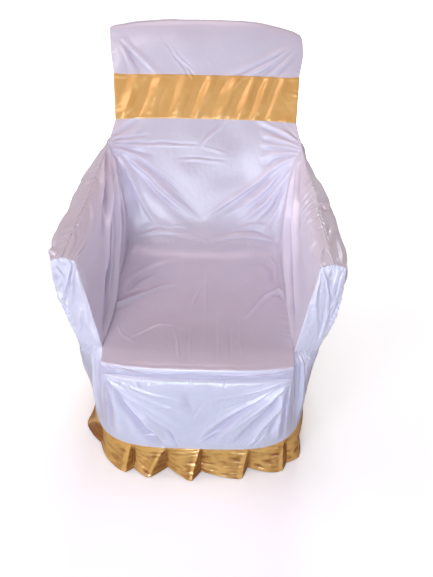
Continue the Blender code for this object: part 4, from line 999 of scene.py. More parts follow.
# ================================================================ sheets
SEAM_GAP = 0.0005       # neighbouring pieces stop this far apart
MOST_MITRE = 1.5        # the turned-in edges lean out at most this much at a seam
SAME_POINT = 0.00002    # seam points of two panels this close together are one point
SEAM_ROUND = 0.0022     # borders dip into their seams over this distance
ALLOWANCE = 0.006       # width of the turned-in seam allowance
EDGE_STEPS = (0.10, 0.30, 0.60)     # extra grid lines inside the first and last steps
UNDERLAP = 0.25         # how far a sheet dips under the next one where no seam shows
BEND_CALM = 0.030       # bends are rounded off less within this distance of a side seam
FILL_SHARE = 0.5        # a square corner is filled by this share of its reach
LIP_ENDS = 0.1          # the lip's seam is drawn in less over this share at its ends
FOLD_FULL_SHADE = 0.0035      # folds this high or deep take their full painted highlight or painted shade
TINY = 1e-12            # keeps divisions away from zero


def unit(vectors):
    """The vectors at length 1."""
    return vectors / np.maximum(np.linalg.norm(vectors, axis=-1, keepdims=True), TINY)


def normals_of(grid, outward):
    """Unit normals of a grid, all on the side that faces out."""
    normal = unit(np.cross(np.gradient(grid, axis=1), np.gradient(grid, axis=0)))
    if (normal.reshape(-1, 3).mean(axis=0) * np.array(outward)).sum() < 0:
        normal = -normal
    return normal


def finer(grid, steps):
    """The grid with this many lines for each of its own, down and across, smooth through them."""
    for axis, count in enumerate(steps):
        last = grid.shape[axis] - 1
        places = np.linspace(0, last, last * count + 1)
        low = np.minimum(places.astype(int), last - 1)
        t = (places - low).reshape([-1 if k == axis else 1 for k in range(grid.ndim)])
        slope = np.gradient(grid, axis=axis)
        ends = [np.take(part, at, axis) for at in (low, low + 1) for part in (grid, slope)]
        grid = smooth_between(t, 1, *ends)
    return grid


def rounded(grid, rows):
    """The grid with its bends rounded off over some rows, but not at its borders."""
    reach = 3 * rows
    share = np.exp(-0.5 * (np.arange(-reach, reach + 1) / rows) ** 2)
    share /= share.sum()
    before = 2 * grid[:1] - grid[reach:0:-1]
    after = 2 * grid[-1:] - grid[-2:-reach - 2:-1]
    longer = np.concatenate([before, grid, after])
    soft = sum(share[k] * longer[k:k + len(grid)] for k in range(2 * reach + 1))
    x, _, wide, _ = plan_of(grid)
    inside = smooth_step(np.minimum(x, wide - x) / BEND_CALM)
    return grid + (soft - grid) * inside[..., None]


# Seams that are rounded or drawn in: the panel, its border, the part of it, how far the bend
# reaches into the panel at places spread evenly over that part, and how far the seam moves out,
# in millimetres; without a shift the corner between the panels is filled to a round one.
SoftSeam = namedtuple("SoftSeam", "panel border part reach shift", defaults=(None,))
PINCH_SHARE = (CROWN_ROWS + BAND_ROWS + BELOW_BAND_ROWS) / (
    CROWN_ROWS + BAND_ROWS + BELOW_BAND_ROWS + ARM_ROWS
)
SEAT_SHARE = ARM_COLUMNS / (ARM_COLUMNS + TUCK_COLUMNS + LIP_ROWS)
BACK_ARM_REACH = (0, 14, 22, 30, 38)
BACK_SEAT_REACH = (38, 42, 42, 42, 38)
ARM_SEAT_REACH = (38, 16, 9, 6, 0)
LIP_REACH = (26, 26)
SKIRT_REACH = (10, 10)
LIP_SHIFT = -5.0
SOFT_SEAMS = (
    SoftSeam("inside_back", "start", (PINCH_SHARE, 1.0), BACK_ARM_REACH),
    SoftSeam("inside_back", "end", (PINCH_SHARE, 1.0), BACK_ARM_REACH),
    SoftSeam("inner_arm_left", "start", (0.0, 1.0), BACK_ARM_REACH),
    SoftSeam("inner_arm_right", "start", (0.0, 1.0), BACK_ARM_REACH),
    SoftSeam("inside_back", "foot", (0.0, 1.0), BACK_SEAT_REACH),
    SoftSeam("seat_panel", "top", (0.0, 1.0), BACK_SEAT_REACH),
    SoftSeam("seat_panel", "start", (0.0, SEAT_SHARE), ARM_SEAT_REACH),
    SoftSeam("seat_panel", "end", (0.0, SEAT_SHARE), ARM_SEAT_REACH),
    SoftSeam("inner_arm_left", "foot", (0.0, 1.0), ARM_SEAT_REACH),
    SoftSeam("inner_arm_right", "foot", (0.0, 1.0), ARM_SEAT_REACH),
    SoftSeam("seat_panel", "foot", (0.0, 1.0), LIP_REACH, LIP_SHIFT),
    SoftSeam("front_skirt", "top", (0.0, 1.0), SKIRT_REACH, LIP_SHIFT),
)
CORNER_REACH = 0.038    # the same reach as the seams have there
# where the backrest, the seat and an arm meet: each panel with its row and column there
SOFT_CORNERS = (
    (("inside_back", -1, 0), ("seat_panel", 0, 0), ("inner_arm_left", -1, 0)),
    (("inside_back", -1, -1), ("seat_panel", 0, -1), ("inner_arm_right", -1, 0)),
)


def from_border(values, border):
    """A grid's values turned so that the named border is their first row."""
    if border in ("start", "end"):
        values = values.swapaxes(0, 1)
    return values[::-1] if border in ("foot", "end") else values


def turned_to_ends(out, line, reach):
    """Directions along a seam that turn to those of its ends within the reach there."""
    run = run_along(line)
    near = np.clip(1 - run / max(reach[0], SAME_POINT), 0.0, 1.0)[:, None] ** 2
    away = np.clip(1 - (run[-1] - run) / max(reach[-1], SAME_POINT), 0.0, 1.0)[:, None] ** 2
    return unit(out + near * (out[0] - out) + away * (out[-1] - out))


def softened(plain, shared):
    """Rounds the inner corners where panels meet and draws the lip's seam in."""
    soft = {name: (grid.copy(), outward) for name, (grid, outward) in shared.items()}
    for seam in SOFT_SEAMS:
        count = from_border(soft[seam.panel][0], seam.border).shape[1] - 1
        low, high = (round(share * count) for share in seam.part)
        part = slice(low, high + 1)
        lines = from_border(plain[seam.panel][0], seam.border)[:, part]
        own = from_border(plain[seam.panel][1], seam.border)[0, part]
        out = unit(from_border(shared[seam.panel][1], seam.border)[0, part])
        run = np.linspace(0.0, len(seam.reach) - 1, high - low + 1)
        reach = MM * np.interp(run, range(len(seam.reach)), seam.reach)
        if seam.shift is None:
            level = np.clip((own * out).sum(axis=1), 0.0, 1.0)
            level[[0, -1]] = level[[1, -2]]
            shift = FILL_SHARE * reach * np.sqrt(1 - level ** 2)
            out = turned_to_ends(out, lines[0], reach)
        else:
            middle = smooth_step(np.minimum(run, run[-1] - run) / (LIP_ENDS * run[-1]))
            shift = MM * seam.shift * middle
        steps = np.linalg.norm(np.diff(lines, axis=0), axis=2)
        far = np.vstack([np.zeros((1, steps.shape[1])), np.cumsum(steps, axis=0)])
        fade = np.clip(1 - far / np.maximum(reach, SAME_POINT), 0.0, 1.0) ** 2
        grid = from_border(soft[seam.panel][0], seam.border)
        grid[:, part] += fade[..., None] * (shift[:, None] * out)[None]
    return met_corners(plain, soft)


def met_corners(plain, soft):
    """Draws the corners where the backrest, seat and an arm meet together again."""
    for corner in SOFT_CORNERS:
        places = {}
        for panel, row, column in corner:
            places[panel] = soft[panel][0][row, column]
        middle = np.mean(list(places.values()), axis=0)
        for panel, row, column in corner:
            base = plain[panel][0]
            far = np.linalg.norm(base - base[row, column], axis=2)
            fade = np.clip(1 - far / CORNER_REACH, 0.0, 1.0) ** 2
            soft[panel][0][...] += fade[..., None] * (middle - places[panel])
    return soft


def border_of(shape):
    """Which points of a grid are on its border."""
    border = np.zeros(shape, bool)
    border[[0, -1], :] = True
    border[:, [0, -1]] = True
    return border


def share_normals(sheets):
    """Gives panels that meet at a seam one common outward direction there."""
    borders = [
        (grid[i, j], normal[i, j])
        for grid, normal in sheets.values()
        for i, j in zip(*np.nonzero(border_of(grid.shape[:2])))
    ]
    tree = KDTree(len(borders))
    for number, (point, _) in enumerate(borders):
        tree.insert(point, number)
    tree.balance()
    shared = {}
    for name, (grid, normal) in sheets.items():
        common = normal.copy()
        for i, j in zip(*np.nonzero(border_of(grid.shape[:2]))):
            found = [borders[number][1] for _, number, _ in tree.find_range(grid[i, j], SAME_POINT)]
            mean = unit(np.sum(found, axis=0))
            lean = max(np.mean([mean @ one for one in found]), 1 / MOST_MITRE)
            common[i, j] = mean / lean
        shared[name] = (grid, common)
    return shared


def at_places(values, places, axis):
    """Values of a grid at fractional places along one of its axes."""
    low = np.minimum(places.astype(int), values.shape[axis] - 2)
    share = (places - low).reshape([-1 if k == axis else 1 for k in range(values.ndim)])
    return np.take(values, low, axis) * (1 - share) + np.take(values, low + 1, axis) * share


def with_edge_lines(count):
    """Places of a grid's lines, with extra ones just inside its first and last."""
    extra = np.array(EDGE_STEPS)
    return np.sort(np.concatenate([np.arange(count), extra, count - 1 - extra]))


def step_back(grid, smooth_end):
    """The grid drawn in by half a seam gap at its borders, but not at its smooth end."""
    drawn = grid.copy()
    half = SEAM_GAP / 2
    drawn[0] += half * unit(grid[1] - grid[0]) * (smooth_end != "top")
    drawn[-1] += half * unit(grid[-2] - grid[-1]) * (smooth_end != "foot")
    drawn[:, 0] += half * unit(grid[:, 1] - grid[:, 0])
    drawn[:, -1] += half * unit(grid[:, -2] - grid[:, -1])
    return drawn


def turned_edges(grid, outward, fold, allowance, dips, smooth_end=None):
    """Rounds a sheet off at its borders and turns a narrow allowance in behind them.

    dips says how far each border lies below the cloth beside it; smooth_end is "top" or "foot"
    where the next panel goes on without a visible seam.
    """
    for axis in (0, 1):
        places = with_edge_lines(grid.shape[axis])
        grid, outward, fold = (at_places(each, places, axis) for each in (grid, outward, fold))
    x, y, wide, tall = plan_of(grid)
    top = y + (smooth_end == "top") * tall
    foot = tall - y + (smooth_end == "foot") * tall
    each = zip(dips, (top, foot, x, wide - x))
    dip = MM * np.max([deep * np.exp(-(far / SEAM_ROUND) ** FLANK) for deep, far in each], axis=0)
    grid = step_back(grid, smooth_end) - outward * dip[..., None]
    wider = np.pad(grid, ((1, 1), (1, 1), (0, 0)), mode="edge")
    depth = np.pad(outward, ((1, 1), (1, 1), (0, 0)), mode="edge")
    ring = border_of(wider.shape[:2])
    wider[ring] -= depth[ring] * allowance
    if smooth_end is not None:
        end, before = (-1, -2) if smooth_end == "foot" else (0, 1)
        onward = unit(grid[end] - grid[before])
        wider[end, 1:-1] = grid[end] + allowance * (onward - UNDERLAP * outward[end])
    return wider, depth, np.pad(fold, 1, mode="edge")


def make_sheet(name, grid, outward, fold, material):
    """A mesh sheet with its flat layout as a UV map, and where its folds are high or deep for their
    painted shade and highlight.
    """
    rows, columns = grid.shape[:2]
    index = np.arange(rows * columns).reshape(rows, columns)
    faces = np.stack([index[:-1, :-1], index[1:, :-1], index[1:, 1:], index[:-1, 1:]], axis=-1)
    down, across = np.gradient(grid, axis=0), np.gradient(grid, axis=1)
    if (np.cross(down, across) * outward).sum() < 0:
        faces = faces[..., ::-1]
    mesh = bpy.data.meshes.new(name)
    mesh.from_pydata(grid.reshape(-1, 3).tolist(), [], faces.reshape(-1, 4).tolist())
    mesh.shade_smooth()
    x, y, _, _ = plan_of(grid)
    flat = np.stack([x, y], axis=-1).reshape(-1, 2)
    corners = np.empty(len(mesh.loops), np.int32)
    mesh.loops.foreach_get("vertex_index", corners)
    layout = mesh.uv_layers.new(name="flat")
    layout.data.foreach_set("uv", flat[corners].astype(np.float32).ravel())
    # painted shade and highlight: how high or deep the folds stand, from -1 to 1
    shade_tone = mesh.attributes.new("fold", "FLOAT", "POINT")
    high = np.clip(fold / FOLD_FULL_SHADE, -1.0, 1.0)
    shade_tone.data.foreach_set("value", high.astype(np.float32).ravel())
    mesh.materials.append(material)
    piece = bpy.data.objects.new(name, mesh)
    bpy.context.scene.collection.objects.link(piece)
    return piece


# ================================================================ the pieces
# Flat size of each piece of cloth in metres, the share of that rectangle it fills, and how it
# is held.
Cut = namedtuple("Cut", "width length share held")

# How many lines down and across each panel's grid gets for each of its own, the rows over which
# its bends are rounded, and how far its borders dip into the seams, in millimetres.
Finish = namedtuple("Finish", "steps round_rows top foot start end")
FINISH = {
    "inside_back": Finish((2, 2), 5, 0.8, 0.0, 0.3, 0.3),
    "seat_panel": Finish((2, 2), 2, 0.0, 1.4, 0.3, 0.3),
    "front_skirt": Finish((3, 3), 0, 1.4, 0.3, 1.2, 1.2),
    "outside_back": Finish((1, 2), 2, 0.8, 0.3, 0.8, 0.8),
    "inner_arm": Finish((3, 3), 0, 2.2, 0.3, 0.2, 0.6),
    "outer_arm": Finish((2, 2), 0, 2.2, 0.6, 0.8, 0.8),
    "arm_front": Finish((3, 3), 0, 0.8, 0.8, 0.6, 0.8),
    "side_skirt": Finish((1, 2), 0, 0.8, 0.3, 1.2, 0.8),
}
SMOOTH_END = {"inside_back": "foot", "seat_panel": "top"}   # no seam shows between these two
LIP_SHADE_RUN = (0.022, 0.012)  # above the lip seam the shade is full, then fades over this
UNDER_BAND = 0.35       # how much of the backrest's creases stays under the band
BAND_PRESS = 0.008      # the band presses them down over this distance


def declare(piece, node):
    """Hangs a sheet on the root body and hides the solid that it replaces."""
    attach(piece, "root")
    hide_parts(node)


def white_panels():
    """Every white panel with its creases: its grid, its outward directions and its folds, which
    also set its painted shade and highlight.
    """
    seams = {side: seams_of(side) for side in ("left", "right")}
    panels = across_panels(seams["left"], seams["right"])
    for name, (grid, outward) in arm_panels("right", seams["right"]).items():
        panels[name + "_right"] = (grid, outward)
    for name, (grid, (x, y, z)) in arm_panels("left", seams["left"]).items():
        panels[name + "_left"] = (mirrored(grid), (-x, y, z))
    plain = {name: (grid, normals_of(grid, outward)) for name, (grid, outward) in panels.items()}
    sheets = {}
    joined = softened(plain, share_normals(plain))
    for seed, (name, (grid, outward)) in enumerate(joined.items()):
        finish = row_of(FINISH, name)
        grid, outward = finer(grid, finish.steps), finer(outward, finish.steps)
        if finish.round_rows:
            grid = rounded(grid, finish.round_rows)
        relief, fold = relief_of(name, grid, seed)
        if name == "inside_back":
            relief *= under_band(grid)
        grid = grid + normals_of(grid, panels[name][1]) * relief[..., None]
        # painted shade on the face of the lip, under its rim
        if name == "seat_panel":
            fold = fold - lip_shade(grid)
        sheets[name] = (grid, outward, fold)
    return sheets


def lip_shade(grid):
    """Painted shade on the face of the lip under its rim, as dark as the painted shade of a valley.
    """
    _, y, _, tall = plan_of(grid)
    full, fade = LIP_SHADE_RUN
    return FOLD_FULL_SHADE * (1 - smooth_step((tall - y - full) / fade))


def band_rows():
    """First and last row of the band on the backrest panel's finer grid."""
    steps = FINISH["inside_back"].steps[0]
    return CROWN_ROWS * steps, (CROWN_ROWS + BAND_ROWS) * steps


def under_band(grid):
    """Creases of the backrest are pressed flat where the band lies over them."""
    _, y, _, _ = plan_of(grid)
    first, last = band_rows()
    top, foot = y[first, 0], y[last, 0]
    inside = smooth_step((y - top) / BAND_PRESS) * smooth_step((foot - y) / BAND_PRESS)
    return 1 - (1 - UNDER_BAND) * inside


def make_white_panels(sheets, material):
    """Every white panel with its edges turned in, level along the hem."""
    hem_names = ("front_skirt", "side_skirt", "outside_back")
    for name, (grid, outward, fold) in sheets.items():
        if name.startswith(hem_names):
            outward[-1] = unit(outward[-1] * (1, 1, 0))
        dips, end = row_of(FINISH, name)[2:], SMOOTH_END.get(name)
        sheet = turned_edges(grid, outward, fold, ALLOWANCE, dips, end)
        piece = make_sheet(name + "_cloth", *sheet, material)
        declare(piece, name)


# ---------------------------------------------------------------- sash band
# A fold slants from its place at the band's foot to its place at the top, shares of the band's
# length from its left end; width and height in millimetres.
BandFold = namedtuple("BandFold", "foot top width height")
BAND_FOLDS = (
    BandFold(0.03, 0.14, 13, 2.4),
    BandFold(0.10, 0.21, 12, -1.6),
    BandFold(0.19, 0.26, 19, 2.0),
    BandFold(0.24, 0.33, 14, -1.4),
    BandFold(0.32, 0.39, 17, 1.6),
    BandFold(0.39, 0.48, 12, -1.4),
    BandFold(0.44, 0.54, 12, 3.2),
    BandFold(0.485, 0.58, 10, -2.2),
    BandFold(0.56, 0.68, 13, 2.8),
    BandFold(0.61, 0.72, 10, -1.6),
    BandFold(0.68, 0.77, 11, 2.4),
    BandFold(0.715, 0.80, 9, -1.6),
    BandFold(0.755, 0.85, 11, 3.2),
    BandFold(0.80, 0.885, 9, -1.8),
    BandFold(0.85, 0.92, 12, 1.6),
)
BAND_GATHERS = (("start end", 0.02, 0.98, 12, 16, 0.8, 0.3),)
BAND_SEED = 41
BAND_DIPS = (0.5, 0.5, 1.2, 1.2)        # as in FINISH
BAND_CLEAR = 0.0012     # the band's cloth lies this far off the backrest
BAND_HEM = 0.007        # width of its turned hems
BAND_HEM_HIGH = 0.0004  # how far they stand proud
BAND_HEM_STEP = 0.0015  # over this distance
BAND_HEM_CALM = (0.35, 2.5)     # share of the folds left at a hem, and over how many hem widths
BAND_PUCKER = (0.12, 0.009, 0.3)        # of the hems: height in millimetres, spacing, lean
BAND_DEPTH = 1.6        # how deep its folds are against their table
BAND_SWAY = 0.05        # share of the length by which its folds wander
BAND_UNEVEN = 0.25      # share of their height by which they change along their run
BAND_SWELL = 0.5        # its broad swells and its small crinkles, in millimetres
BAND_CRINKLE = 0.10
BAND_SINK = 0.4         # its troughs go down by no more than this share of its clearance
BAND_END_CALM = 0.004   # its folds die out over this distance from its ends
BAND_ALLOWANCE = 0.003  # width turned in behind its edges
BAND_SHADE_SHARE = 0.5         # its folds are shallow and take only this share of their painted shade and highlight
BAND_HIGHLIGHT_LIFT = 0.0014      # its stretched cloth takes the painted highlight of a fold this high


def band_relief(grid):
    """Slanting folds, turned hems along both edges and fine puckers."""
    rng = np.random.default_rng(BAND_SEED)
    x, y, wide, tall = plan_of(grid)
    u, v = x / wide, y / tall
    bow = BAND_SWAY * (v - 0.5) * (1 - 2 * np.abs(v - 0.5))
    relief = np.zeros(u.shape)
    for fold in BAND_FOLDS:
        place = fold.top + (fold.foot - fold.top) * v + bow * rng.uniform(-1, 1)
        q = (u - place) * wide / (fold.width * MM)
        change = BAND_UNEVEN * np.cos(2 * np.pi * (v - rng.uniform(0, 1)))
        along = 1 - BAND_UNEVEN + change
        relief += BAND_DEPTH * fold.height * MM * along * fold_profile(q)
    relief += BAND_SWELL * MM * random_waves(x, y, SWELL_SIZE, rng)
    relief += BAND_CRINKLE * MM * random_waves(x, y, CRINKLE_SIZE, rng)
    hem = np.minimum(y, tall - y)
    left, widths = BAND_HEM_CALM
    calm = left + (1 - left) * smooth_step(hem / (widths * BAND_HEM))
    raised = smooth_step((BAND_HEM - hem) / BAND_HEM_STEP)
    height, spacing, lean = BAND_PUCKER
    pucker = height * MM * uneven_wave(x + lean * y, spacing, rng) * smooth_step(2 - hem / BAND_HEM)
    for gathers in gathers_of(BAND_GATHERS):
        relief += gather_relief(gathers, x, y, wide, tall, rng)
    return relief * calm + BAND_HEM_HIGH * raised + pucker


def make_band(back, outward, material):
    """The band follows the backrest panel's own rows, just clear of it."""
    first, last = band_rows()
    base, normal = back[first:last + 1], unit(outward[first:last + 1])
    relief = np.maximum(band_relief(base), -BAND_SINK * BAND_CLEAR)
    x, _, wide, _ = plan_of(base)
    relief *= smooth_step(np.minimum(x, wide - x) / BAND_END_CALM)
    grid = base + normal * (BAND_CLEAR + relief)[..., None]
    # the band's folds carry painted shade and highlight, lifted toward the painted highlight
    sheet = turned_edges(grid, normal, BAND_HIGHLIGHT_LIFT + BAND_SHADE_SHARE * relief, BAND_ALLOWANCE, BAND_DIPS)
    piece = make_sheet("sash_band_cloth", *sheet, material)
    declare(piece, "sash_band")


# ---------------------------------------------------------------- frill
FRILL_FOOT = 0.006      # lowest edge of a recess above the floor
FRILL_FLARE = 1.30      # how the pleats open downwards
FIRST_RECESS = 0.006    # a strip starts in a recess this far outside the hem line
HEM_NEAR = 0.002        # half the run over which the hem's direction is taken
FRILL_LINES = 44        # rows from the hem to the foot
OPENING_LINES = 22      # columns of a pleat's broad face
CLOSING_LINES = 12      # and of the face that turns back
TOP_TIP = 0.965         # at the hem a pleat is folded flat, its tip this far along its width
PLEAT_SHUT = 1.3        # how the tip moves along as the pleat opens
PLEAT_LIFT = 0.0012     # height of the folded edge at the hem
LIFT_FALL = (0.06, 0.6) # share of the fall over which it begins, and its loss by the foot
VALLEY = 0.008          # how much deeper the recesses are halfway down
FRILL_TUCK = 0.003      # the frill's top lies this far inside the hem
TUCK_FALL = 0.25        # and comes out over this share of the fall
PLEAT_ROUND = (0.09, 16.0)      # share of its reach that the rounded tip loses, and its sharpness
PLEAT_BOW = 0.22        # how far a pleat's broad face bellies out
PLEAT_BEND = 0.0025     # how far either face bends in or out halfway down
CRUMPLE_SIZE = (0.018, 0.060)   # wavelengths of the sharp crumples
CRUMPLE_HIGH = 0.0015   # and their height
CRUMPLE_SLANT = ((0.5, 0.4), (-0.3, 1.1))       # their two directions: along and down
CRUMPLE_EDGE = (0.5, 0.01)      # level of their edges, and how blunt these are
CRINKLE_HIGH = 0.2      # height of the small crinkles between them, in millimetres
CRUMPLE_CALM = (0.012, 0.010, 0.004)    # they die out over these at the hem, foot and ends
CRUMPLE_FOOT = 0.4      # but keep this share at the foot
CRUMPLE_SHADE = 1.1      # their painted shade and highlight are those of folds this much higher
PLEAT_SHADE_FALL = 0.3         # a pleat's painted shade begins over this share of the fall
# painted shade of a pleat's two faces, darkest in the recess and on the face that turns back,
# painted highlight along the folded edge; from deep at -1 to crest at 1: share of the face, tone
OPENING_SHADE = ((0.0, -0.9), (0.10, -0.3), (0.50, -0.1), (0.86, -0.6), (0.95, 0.2), (1.0, 0.8))
CLOSING_SHADE = ((0.0, 0.8), (0.10, -0.7), (0.4, -1.0), (1.0, -1.0))
# Each pleat opens slowly from the recess before it to its tip and turns back to the recess after
# it: width along the hem, tip as a share of the width, how far the tip stands out of the hem
# line, how far the tip leans along the hem, and how far out the recess after it hangs.
Pleat = namedtuple("Pleat", "width tip out lean recess")
FRILLS = {
    "frill_front": (-0.165, (
        Pleat(0.088, 0.48, 0.035, 0.000, 0.002),
        Pleat(0.088, 0.72, 0.039, 0.000, 0.013),
        Pleat(0.124, 0.85, 0.031, 0.000, 0.000),
        Pleat(0.099, 0.81, 0.031, 0.000, 0.019),
    )),
    "frill_right": (0.234, (
        Pleat(0.085, 0.42, 0.030, 0.000, 0.006),
        Pleat(0.112, 0.60, 0.012, 0.004, 0.004),
        Pleat(0.100, 0.55, 0.014, 0.004, 0.006),
        Pleat(0.116, 0.62, 0.034, 0.004, 0.008),
        Pleat(0.100, 0.55, 0.032, 0.004, 0.006),
        Pleat(0.076, 0.60, 0.022, 0.004, 0.006),
    )),
    "frill_left": (-0.823, (
        Pleat(0.092, 0.60, 0.024, 0.004, 0.006),
        Pleat(0.110, 0.44, 0.026, -0.004, 0.006),
        Pleat(0.100, 0.60, 0.026, 0.004, 0.006),
        Pleat(0.124, 0.46, 0.020, -0.002, 0.008),
        Pleat(0.116, 0.42, 0.040, 0.000, 0.010),
        Pleat(0.116, 0.85, 0.032, 0.000, 0.016),
    )),
}
REAR_PLEAT = Pleat(0.104, 0.64, 0.024, 0.004, 0.006)
FRILL_ALLOWANCE = 0.004 # width turned in behind its edges
FRILL_DIPS = (0.4, 0.4, 0.8, 0.8)       # as in FINISH
FRILL_SEED = 71


def pleat_columns(start, recess, pleats, fall, rng):
    """Down each column of a strip of pleats: its run along the hem, how far it stands out and leans
    there and how near it is to a tip, and each column's painted shade.
    """
    open_by = fall ** FRILL_FLARE
    halfway = np.sin(np.pi * fall)
    none = np.zeros(len(fall))
    lost, sharp = PLEAT_ROUND
    begin, loss = LIFT_FALL
    faces = [(share, 0) for share in np.linspace(0.0, 1.0, OPENING_LINES + 1)[:-1]]
    faces += [(share, 1) for share in np.linspace(0.0, 1.0, CLOSING_LINES + 1)[:-1]]
    columns, shade_tones = [], []
    run = start
    for pleat in pleats:
        tip = pleat.tip + (TOP_TIP - pleat.tip) * (1 - fall) ** PLEAT_SHUT
        wander = rng.uniform(-1, 1, 2)
        for share, face in faces:
            if face == 0:
                t, low, near, shade_tone = share * tip, recess, 1 - share, OPENING_SHADE
                rise = share + PLEAT_BOW * share * (1 - share)
            else:
                t, low, near, shade_tone = tip + share * (1 - tip), pleat.recess, share, CLOSING_SHADE
                rise = 1 - share
            rise -= np.exp(-sharp * near) * lost
            bend = PLEAT_BEND * halfway * wander[face] * np.sin(np.pi * share)
            reach = open_by * (low + (pleat.out - low) * rise) + bend
            reach -= VALLEY * halfway * np.clip(1 - rise, 0, 1) ** 3
            lift = PLEAT_LIFT * rise * smooth_step(fall / begin) * (1 - loss * fall)
            lean = open_by * pleat.lean * rise
            columns.append((run + t * pleat.width, reach + lift, lean, none + rise))
            shade_tones.append(np.interp(share, *zip(*shade_tone)))
        run += pleat.width
        recess = pleat.recess
    columns.append((none + run, open_by * recess, none, none))
    shade_tones.append(CLOSING_SHADE[-1][1])
    return np.transpose(columns, (1, 2, 0)), np.array(shade_tones)


def crumples_of(grid, rng):
    """Sharp crumples and small crinkles of the frill, calmer at its borders."""
    x, y, wide, tall = plan_of(grid)
    (ax, ay), (bx, by) = CRUMPLE_SLANT
    crumple = random_waves(ax * x + ay * y, bx * x + by * y, CRUMPLE_SIZE, rng)
    level, blunt = CRUMPLE_EDGE
    relief = CRUMPLE_HIGH * (level - np.sqrt(crumple ** 2 + blunt))
    relief += CRINKLE_HIGH * MM * random_waves(x, y, CRINKLE_SIZE, rng)
    hem, foot, ends = CRUMPLE_CALM
    loose = CRUMPLE_FOOT + (1 - CRUMPLE_FOOT) * smooth_step((tall - y) / foot)
    relief *= smooth_step(y / hem) * loose
    return relief * smooth_step(np.minimum(x, wide - x) / ends)


def frill_grid(start, recess, pleats, seed):
    """Pleats side by side along the hem, folded flat there and open at the floor, and their painted
    shade and highlight.
    """
    rng = np.random.default_rng(seed)
    fall = np.linspace(0.0, 1.0, FRILL_LINES + 1)
    (runs, reaches, leans, rises), shade_tones = pleat_columns(start, recess, pleats, fall, rng)
    down = fall[:, None]
    flat = runs.ravel()
    top = hem_at(flat).reshape(*runs.shape, 3)
    ahead = unit(hem_at(flat + HEM_NEAR) - hem_at(flat - HEM_NEAR)).reshape(*runs.shape, 3)
    outward = np.cross(ahead, (0.0, 0.0, 1.0))
    tucked = FRILL_TUCK * (1 - smooth_step(down / TUCK_FALL))
    grid = top + outward * (reaches - tucked)[..., None] + ahead * leans[..., None]
    grid[..., 2] = HEM_Z - down * (HEM_Z - FRILL_FOOT * (1 - rises))
    crumples = crumples_of(grid, rng)
    # painted shade in recesses and on the faces that turn back, painted highlight on folded edges
    # and crumple crests
    fold = CRUMPLE_SHADE * crumples + FOLD_FULL_SHADE * shade_tones * smooth_step(down / PLEAT_SHADE_FALL)
    return grid + outward * crumples[..., None], fold


def make_frills(material):
    """Four strips end to end: front, both sides, and the back from plain even pleats."""
    strips = dict(FRILLS)
    right_start, right_pleats = FRILLS["frill_right"]
    back_start = right_start + sum(pleat.width for pleat in right_pleats)
    first = {
        "frill_front": FRILLS["frill_left"][1][-1].recess,
        "frill_right": FRILLS["frill_front"][1][-1].recess,
    }
    back_run = 2 * HEM_HALF_RING + FRILLS["frill_left"][0] - back_start
    count = round(back_run / REAR_PLEAT.width)
    strips["frill_back"] = (back_start, [REAR_PLEAT._replace(width=back_run / count)] * count)
    sheets, folds = {}, {}
    for seed, (name, (start, pleats)) in enumerate(strips.items()):
        grid, fold = frill_grid(start, first.get(name, FIRST_RECESS), pleats, FRILL_SEED + seed)
        sheets[name] = (grid, normals_of(grid, grid.mean(axis=(0, 1)) * (1, 1, 0)))
        folds[name] = fold
    for name, (grid, outward) in share_normals(sheets).items():
        outward[[0, -1]] = unit(outward[[0, -1]] * (1, 1, 0))
        sheet = turned_edges(grid, outward, folds[name], FRILL_ALLOWANCE, FRILL_DIPS)
        piece = make_sheet(name + "_cloth", *sheet, material)
        declare(piece, name)


# ================================================================ satin
def feed(tree, node, inputs):
    """Sets a node's inputs, each to a plain value or from the socket of another node."""
    for key, value in inputs.items():
        if isinstance(value, bpy.types.NodeSocket):
            tree.links.new(value, node.inputs[key])
        else:
            node.inputs[key].default_value = value


def add_node(tree, kind, inputs=None, **settings):
    """A new node with its settings and inputs; returns its outputs."""
    node = tree.nodes.new(kind)
    for key, value in settings.items():
        setattr(node, key, value)
    feed(tree, node, inputs or {})
    return node.outputs


def ramp(tree, fac, *stops):
    """A colour ramp: its two end stops and then those between, each a position and a colour."""
    node = tree.nodes.new("ShaderNodeValToRGB")
    elements = node.color_ramp.elements
    for number, (position, colour) in enumerate(stops):
        stop = elements[number] if number < 2 else elements.new(position)
        stop.position, stop.color = position, (*colour, 1.0)
    feed(tree, node, {"Fac": fac})
    return node.outputs["Color"]


# deep is the colour of the painted shade in the troughs of folds; crests take a painted highlight
Satin = namedtuple("Satin", "name colour dark tint deep roughness sheen ior metal")
WHITE = Satin(
    name="white_satin",
    colour=(0.87, 0.84, 0.95),
    dark=(0.83, 0.80, 0.92),
    tint=(0.95, 0.95, 1.0),
    deep=(0.76, 0.735, 0.79),
    roughness=0.34,
    sheen=0.2,
    ior=1.7,
    metal=0.0,
)
GOLD = Satin(
    name="gold_satin",
    colour=(1.0, 0.58, 0.18),
    dark=(0.88, 0.46, 0.11),
    tint=(1.0, 0.91, 0.72),
    deep=(0.36, 0.22, 0.11),
    roughness=0.32,
    sheen=0.1,
    ior=1.7,
    metal=0.15,
)
THREAD = 0.00035        # spacing of the warp's threads, metres
WEFT_STEP = 5           # the weft's ribs are this many threads apart
WAVE_PERIOD = 2 * np.pi / 20    # period of a wave texture of scale 1
STREAK = (700.0, 60.0, 1.0)     # streaks of the warp: how fine across the threads, along them
STREAK_RANGE = (0.3, 0.7)       # most of their noise lies between these
STREAK_ROUGH = (0.02, 0.03)     # they make the cloth this much smoother, and this much rougher
STREAK_SHARE = 0.25     # their share in the cloth's colour
STREAK_HIGH = 1.5       # and in its relief, against the warp's threads
WEFT_HIGH = 0.4         # the weft's share in the relief
CLOUDS = 22.0           # how fine the broad unevenness of the colour is
TONE_RANGE = (0.40, 0.85)       # unevenness at which the cloth is dark and at which it is light
FLAT_FOLD_SHADE = 0.90        # painted shade of flat cloth against the painted highlight on the crests of folds
